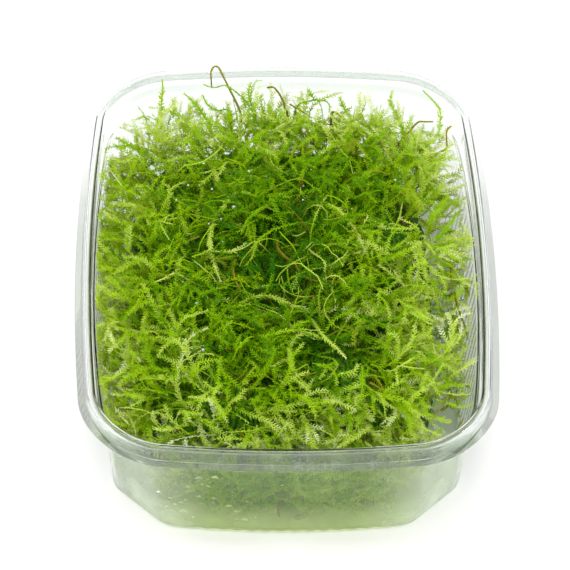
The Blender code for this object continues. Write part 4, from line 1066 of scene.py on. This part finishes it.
strands = {
    "rim_hook_stem": ("olive", 2.38, 0.42, 0.47, 0.75, (
        (-8.5, 36.8, 27.4), (-8.7, 38.3, 29.2), (-9.7, 43.0, 28.0), (-11.1, 46.5, 28.6), (-12.4, 49.6, 29.3),
        (-13.1, 50.8, 29.95), (-14.0, 50.9, 29.95), (-14.5, 50.0, 29.3), (-14.5, 49.0, 28.2), (-14.4, 48.4, 26.3))),
    "back_arch_shoot": ("leafy", 1.45, 0.87, 0.38, 0.0, (
        (-5.9, 35.0, 29.2), (-6.0, 36.2, 30.7), (-8.2, 40.6, 31.0), (-10.5, 43.5, 30.8), (-11.9, 45.0, 30.3),
        (-13.5, 46.0, 28.8), (-15.0, 46.3, 28.7), (-16.1, 46.5, 29.2))),
    "back_left_shoot": ("leafy", 1.71, 1.17, 0.38, 0.0, (
        (-14.6, 33.4, 28.2), (-15.0, 34.7, 29.9), (-16.2, 38.0, 28.8), (-17.4, 40.0, 29.2), (-18.6, 41.5, 29.5),
        (-20.1, 43.0, 29.9))),
    "back_left_curl": ("leafy", 1.55, 0.99, 0.38, 0.0, (
        (-10.5, 33.1, 29.3), (-10.8, 34.4, 31.0), (-11.3, 37.6, 30.6), (-12.9, 38.5, 29.4), (-14.4, 39.7, 28.9),
        (-15.4, 41.0, 28.9), (-16.3, 42.0, 30.4))),
    "tall_left_tip": ("leafy", 1.71, 0.98, 0.38, 0.0, (
        (-24.4, 34.4, 26.1), (-24.8, 35.2, 27.1), (-24.8, 36.0, 29.4), (-24.7, 37.0, 31.0), (-24.6, 38.0, 32.8),
        (-24.3, 38.6, 35.0), (-24.4, 39.0, 37.5))),
    "left_corner_shoot": ("leafy", 1.66, 1.11, 0.38, 0.0, (
        (-26.1, 25.2, 27.7), (-26.4, 25.7, 28.5), (-28.2, 28.1, 27.6), (-30.5, 31.4, 26.0), (-32.2, 33.6, 25.4),
        (-33.8, 35.0, 25.1))),
    "back_mid_tip": ("leafy", 1.55, 0.99, 0.38, 0.0, (
        (-5.5, 37.7, 27.4), (-5.6, 38.9, 28.8), (-6.6, 39.4, 31.0), (-7.0, 40.3, 31.9), (-6.9, 41.0, 33.3),
        (-6.4, 41.6, 34.3))),
    "brown_arch_stem": ("brown", 2.5, 0.42, 0.52, 0.85, (
        (0.9, 37.0, 26.8), (0.9, 38.4, 28.5), (0.4, 38.0, 30.9), (-0.2, 39.5, 31.7), (-1.0, 40.5, 32.7),
        (-2.0, 41.2, 33.4), (-3.2, 42.0, 32.5))),
    "green_arch_stem": ("leafy", 1.45, 0.87, 0.38, 0.0, (
        (2.4, 37.1, 26.6), (2.5, 38.8, 28.7), (3.2, 38.0, 31.6), (5.1, 39.0, 31.4), (6.9, 39.5, 31.4),
        (8.6, 39.5, 31.1), (9.5, 39.0, 30.2), (9.4, 37.9, 29.4))),
    "back_right_tip": ("leafy", 1.61, 1.06, 0.38, 0.0, (
        (14.2, 34.4, 30.2), (12.6, 38.3, 29.9), (11.5, 40.0, 31.7))),
    "brown_back_chain": ("brown", 2.5, 0.42, 0.54, 0.9, (
        (9.5, 34.3, 28.4), (9.9, 36.3, 30.9), (11.5, 34.8, 31.5), (12.8, 32.9, 31.7), (14.2, 31.5, 31.5),
        (16.2, 29.8, 30.9))),
    "tall_right_tip": ("leafy", 1.55, 0.99, 0.38, 0.0, (
        (23.9, 32.1, 25.9), (24.5, 33.2, 27.4), (23.5, 36.0, 28.9), (22.5, 38.0, 30.0), (21.8, 39.3, 31.3),
        (22.2, 40.5, 33.0))),
    "corner_shoot": ("leafy", 1.51, 0.93, 0.38, 0.0, (
        (26.9, 27.6, 26.8), (27.3, 28.2, 27.8), (29.1, 29.2, 28.7), (30.7, 30.0, 29.5), (31.4, 31.5, 30.7),
        (31.5, 33.0, 32.3), (31.5, 34.5, 33.4), (30.2, 36.0, 34.5), (28.1, 38.0, 35.6))),
    "corner_cross_stem": ("brown", 2.38, 0.42, 0.52, 0.85, (
        (23.2, 29.9, 27.7), (23.5, 30.4, 28.5), (25.4, 32.4, 29.3), (27.2, 33.5, 30.9), (28.8, 33.0, 31.5),
        (30.1, 32.2, 32.3))),
    "dark_right_stem": ("brown", 2.38, 0.42, 0.37, 0.85, (
        (26.6, 22.6, 28.9), (28.4, 23.3, 29.5), (30.7, 25.4, 30.1), (32.5, 26.2, 30.6), (32.6, 28.0, 31.6),
        (32.7, 29.2, 32.7), (33.6, 29.8, 33.5))),
    "right_reach_shoot": ("leafy", 1.66, 1.11, 0.38, 0.0, (
        (27.8, 7.0, 28.3), (28.4, 7.2, 29.6), (30.7, 11.6, 28.8), (32.3, 14.7, 28.2))),
    "right_low_shoot": ("leafy", 1.61, 1.06, 0.38, 0.0, (
        (29.3, 3.3, 27.4), (29.9, 3.4, 28.6), (32.4, 8.0, 27.6), (34.0, 11.8, 26.4), (35.0, 13.5, 25.8))),
    "right_brown_stem": ("brown", 2.24, 0.42, 0.47, 0.85, (
        (31.0, 3.5, 24.8), (31.9, 3.6, 26.6), (32.2, 1.3, 26.0), (32.4, -1.2, 25.0), (32.2, -3.6, 24.8))),
    "right_dark_shoot": ("brown", 2.38, 0.42, 0.32, 0.7, (
        (31.5, -9.3, 24.5), (32.4, -9.3, 26.2), (33.4, -12.8, 25.2), (34.1, -15.6, 24.9), (34.5, -18.2, 25.2),
        (34.7, -20.5, 25.4))),
    "front_loop_shoot": ("pale", 1.51, 0.97, 0.66, 0.0, (
        (4.0, -35.9, 28.8), (2.3, -33.9, 28.9), (1.0, -32.0, 29.5), (0.2, -29.7, 30.4), (0.4, -26.8, 30.8),
        (1.9, -24.2, 30.5), (4.0, -22.7, 29.7), (5.7, -23.2, 29.0))),
    "front_cross_shoot": ("pale", 1.45, 0.91, 0.66, 0.0, (
        (4.6, -17.4, 27.9), (5.9, -23.0, 30.8), (7.3, -25.7, 31.0), (9.1, -27.0, 30.2), (10.9, -29.6, 30.1))),
    "left_arc_shoot": ("pale", 1.55, 1.03, 0.66, 0.0, (
        (-8.9, 12.8, 32.7), (-11.1, 9.5, 33.0), (-13.0, 6.2, 32.8), (-14.4, 2.5, 32.7), (-14.8, -1.3, 32.7),
        (-14.4, -5.0, 32.4), (-13.6, -8.6, 32.2), (-12.7, -11.7, 32.1))),
    "centre_arc_shoot": ("leafy", 1.45, 0.87, 0.38, 0.0, (
        (-8.8, 1.7, 31.3), (-7.6, 4.4, 32.3), (-5.6, 6.8, 32.6), (-3.4, 8.8, 32.1), (-0.8, 9.9, 30.9))),
    "mid_arc_shoot": ("leafy", 1.51, 0.93, 0.38, 0.0, (
        (6.0, 4.8, 30.7), (3.4, 5.5, 30.8), (0.7, 4.4, 31.3), (-2.1, 2.9, 31.6), (-4.5, 1.2, 31.4),
        (-6.0, -0.7, 31.0), (-6.5, -3.4, 30.8), (-7.8, -6.1, 30.8))),
    "red_brown_stem": ("brown", 2.24, 0.42, 0.52, 0.95, (
        (-1.6, 1.2, 30.3), (-1.6, -1.2, 30.5), (-0.2, -3.2, 30.1), (1.7, -4.4, 29.4), (3.0, -6.6, 28.7),
        (5.3, -8.2, 28.7), (8.5, -9.5, 29.8), (12.5, -11.0, 31.2))),
    "short_brown_stem": ("brown", 2.5, 0.42, 0.47, 0.85, (
        (-9.8, -4.9, 31.2), (-10.3, -8.6, 32.1), (-9.9, -11.6, 32.4), (-8.9, -13.8, 31.9))),
    "right_diag_shoot": ("pale", 1.43, 0.89, 0.66, 0.0, (
        (8.2, 9.6, 31.9), (10.3, 7.4, 32.4), (12.0, 4.9, 32.2), (13.5, 2.2, 31.8), (14.7, -1.2, 31.7),
        (15.8, -4.2, 31.4))),
    "mid_cross_shoot": ("pale", 1.43, 0.89, 0.66, 0.0, (
        (-3.8, -12.7, 29.3), (-1.3, -12.9, 28.4), (1.0, -13.9, 27.9), (3.5, -14.3, 27.7))),
    "pale_club_shoot": ("pale", 1.51, 0.97, 0.66, 0.0, (
        (2.5, -7.4, 30.1), (1.8, -9.0, 29.6), (1.0, -10.6, 28.7))),
    "front_left_shoot": ("pale", 1.55, 1.03, 0.66, 0.0, (
        (-18.9, -37.2, 27.8), (-16.7, -38.1, 28.5), (-14.4, -39.0, 28.9), (-13.1, -40.6, 28.4),
        (-11.6, -42.4, 26.7))),
    "front_right_curve": ("leafy", 1.43, 0.85, 0.38, 0.0, (
        (13.8, -31.8, 30.5), (13.8, -35.2, 30.7), (13.6, -38.0, 29.9), (12.8, -40.3, 28.6), (11.0, -41.7, 27.2))),
    "left_wave_shoot": ("pale", 1.43, 0.89, 0.66, 0.0, (
        (-25.4, -10.5, 30.7), (-23.6, -10.0, 31.3), (-21.7, -9.1, 31.7), (-19.8, -10.1, 31.8), (-18.1, -11.3, 31.6),
        (-16.3, -12.3, 31.5))),
    "fallen_front_stem": ("brown", 2.24, 0.42, 0.47, 0.9, (
        (-1.5, -44.2, 1.1), (-1.7, -45.6, 4.5), (-1.8, -46.3, 8.5))),
}


strandLook = {"leafSpacing": 0.22, "leafSpread": 0.9, "spreadChange": 0.3, "tipSize": 0.55, "knots": 0.18,
              "taper": 0.35, "seed": 5}


def buildStrands():
    chance = random.Random(strandLook["seed"])
    for number, (name, (slotName, thick, leafSize, tone, aged, points)) in enumerate(strands.items()):
        route = smoothRoute(points)
        knots = [thick * (1.0 + chance.uniform(-strandLook["knots"], strandLook["knots"])) for _ in route]
        line = dressLine(route, tone, aged, leafSize, chance.gauss(0.0, 0.3), tipSize=strandLook["tipSize"])
        line["thick"] = [knot * (1.0 - strandLook["taper"] * i / len(route)) for i, knot in enumerate(knots)]
        mesh = growShoots(name + "_strand", [line], mossMaterial, Seed=500 + number,
                          **{"Leaf Spacing": strandLook["leafSpacing"] * mm, "Leaf Spread": strandLook["leafSpread"],
                             "Spread Change": strandLook["spreadChange"]})
        newPiece(name + "_strand", mesh, mossMaterial, slotName, name)
    print("strands:", len(strands))


buildStrands()


# Scraps of moss lying on the tub's floor

scraps = {
    "floor_scrap_large": ("leafy", 0.36, 0.25, ((1.3, -44.6, 0.95), (2.0, -44.3, 1.15), (2.8, -44.0, 1.05),
                                                (3.8, -43.7, 1.2))),
    "floor_scrap_small": ("leafy", 0.36, 0.1, ((18.8, -43.0, 0.95), (19.4, -42.8, 1.1), (20.0, -42.6, 1.0))),
    "floor_scrap_brown": ("brown", 0.35, 0.9, ((16.3, -39.6, 0.95), (16.6, -40.0, 1.0), (16.9, -40.4, 0.95))),
}


scrapLook = {"leafSize": 1.5, "thick": 3.2, "tipSize": 0.9, "lift": 0.05, "seed": 8}


def buildScraps():
    chance = random.Random(scrapLook["seed"])
    for number, (name, (slotName, tone, aged, points)) in enumerate(scraps.items()):
        line = dressLine(smoothRoute(points), tone, aged, scrapLook["leafSize"], chance.gauss(0.0, 0.2),
                         thick=scrapLook["thick"], tipSize=scrapLook["tipSize"])
        mesh = growShoots(name + "_bit", [line], mossMaterial, Seed=700 + number)
        for vertex in mesh.vertices:
            vertex.co.z = max(vertex.co.z, (tub["sheet"] + scrapLook["lift"]) * mm)
        newPiece(name + "_bit", mesh, mossMaterial, slotName, name)
    print("scraps:", len(scraps))


buildScraps()


# Water beaded on the inside of the front wall, and in the moss

beads = {
    "placed": ((-16.9, 17.0, 0.68), (-13.9, 17.6, 0.77), (-15.2, 17.4, 0.29), (-19.0, 14.2, 0.39), (-16.3, 15.1, 0.39),
               (-15.2, 15.0, 0.39), (-24.5, 10.8, 0.45), (-22.4, 9.4, 0.48), (-23.0, 6.3, 0.48), (-21.5, 7.6, 0.39),
               (-20.3, 8.5, 0.39), (-19.4, 9.4, 0.39), (-16.9, 10.9, 0.48), (-14.1, 10.6, 0.48), (-14.3, 9.2, 0.39),
               (-19.8, 5.5, 0.77), (-11.2, 8.2, 0.68), (-9.7, 6.9, 0.48), (-8.2, 3.5, 0.77), (-9.7, 4.1, 0.44),
               (-6.1, 4.7, 0.39), (-7.8, 10.3, 0.39), (-1.3, 16.6, 0.29), (-18.1, 3.8, 0.39)),
    "small": 90, "smallSize": (0.1, 0.22), "sag": 0.12, "arcFrom": 0.3, "standOff": 0.03, "seed": 4,
    "inMoss": ((-29.8, 12.1, 28.9, 0.30), (-16.0, 19.5, 33.2, 0.22), (-14.4, 13.3, 32.2, 0.22),
               (-7.1, 17.6, 32.9, 0.26), (-19.1, 14.2, 32.4, 0.20), (-10.1, 7.6, 32.9, 0.42),
               (-12.6, 4.0, 33.3, 0.20), (-17.3, -17.8, 32.8, 0.30), (-33.4, -4.0, 23.5, 0.26),
               (-16.1, -29.1, 32.0, 0.30), (-21.4, 9.8, 32.7, 0.18), (-5.1, 30.8, 31.9, 0.22),
               (3.5, 11.0, 31.5, 0.20), (8.3, -10.3, 29.4, 0.18), (21.8, 16.1, 31.9, 0.18)),
    "paintedGlint": 0.3, "loose": 40, "looseSize": (0.09, 0.17),
}


def buildBeads():
    chance = random.Random(beads["seed"])
    spots = list(beads["placed"])
    tries = 0
    while len(spots) < len(beads["placed"]) + beads["small"] and tries < 5000:
        tries += 1
        size = chance.uniform(*beads["smallSize"])
        x, z = chance.uniform(-25.0, 20.0), chance.uniform(2.5, 20.0)
        if x > -3.0 and chance.random() < 0.75:
            continue
        if all(math.hypot(x - spot[0], z - spot[1]) > size + spot[2] + 0.1 for spot in spots):
            spots.append((x, z, size))
    work = bmesh.new()
    paintedHighlight = work.verts.layers.float.new("paintedHighlight")             # the upper edge of a bead, painted white: a painted highlight
    for x, z, size in spots:
        place, normal = frontWall(x, z)
        dome = bmesh.ops.create_uvsphere(work, u_segments=12, v_segments=8, radius=1.0)["verts"]
        turn = normal.to_track_quat("Z", "Y").to_matrix()
        for vertex in dome:
            local = vertex.co.copy()
            vertex[paintedHighlight] = 1.0 if local.z < 0.9 and (turn @ local).z > beads["arcFrom"] else 0.0
            local.z = max(0.0, local.z)
            local.y *= 1.0 + beads["sag"] * size         # the larger ones sag
            vertex.co = (place + turn @ (local * size) + normal * beads["standOff"]) * mm
    bmesh.ops.remove_doubles(work, verts=work.verts[:], dist=1e-7)
    bmesh.ops.dissolve_degenerate(work, edges=work.edges[:], dist=1e-7)
    bmesh.ops.recalc_face_normals(work, faces=work.faces[:])
    mesh = smoothMesh(work, "water_beads")
    mesh.set_sharp_from_angle(angle=sharpAngle)
    material, tree = newMaterial("water")                # clear and smooth, each bead a small lens with a painted highlight along its top
    lit = addNode(tree, "ShaderNodeAttribute", attribute_name="paintedHighlight")
    # painted highlight: where the attribute is set the water is white, not clear
    clear = addNode(tree, "ShaderNodeMapRange", {"Value": lit.outputs["Fac"], "To Min": 0.95, "To Max": 0.0})
    shader = addNode(tree, "ShaderNodeBsdfPrincipled",
                     {"Base Color": linear("#ffffff"), "Roughness": 0.0, "IOR": 1.333,
                      "Transmission Weight": clear.outputs[0]})
    addNode(tree, "ShaderNodeOutputMaterial", {"Surface": shader.outputs[0]})
    newPiece("water_beads", mesh, material, "pet")
    caught = list(beads["inMoss"])
    for _ in range(beads["loose"]):
        x, y = chance.gauss(-3.0, 15.0), chance.gauss(0.0, 18.0)
        if planReach(x, y) < 0.85:
            caught.append((x, y, clumpTop(x, y) + chance.uniform(1.2, 2.4), chance.uniform(*beads["looseSize"])))
    work = bmesh.new()
    for x, y, z, size in caught:
        bmesh.ops.create_icosphere(work, subdivisions=2, radius=size * mm,
                                   matrix=Matrix.Translation(Vector((x, y, z)) * mm))
    mesh = smoothMesh(work, "moss_droplets")
    # painted glints: the droplets in the moss are made partly white all over, a painted highlight
    mesh.attributes.new("paintedHighlight", "FLOAT", "POINT").data.foreach_set("value", [beads["paintedGlint"]] * len(mesh.vertices))
    newPiece("moss_droplets", mesh, material, "pet")
    print("water beads:", len(spots), "on the wall,", len(caught), "in the moss")


buildBeads()

bpy.data.objects.remove(leafBlade)
shown = [item for item in bpy.context.scene.objects if item.type == "MESH" and not item.hide_render]
print("triangles in all:", sum(len(face.vertices) - 2 for item in shown for face in item.data.polygons))
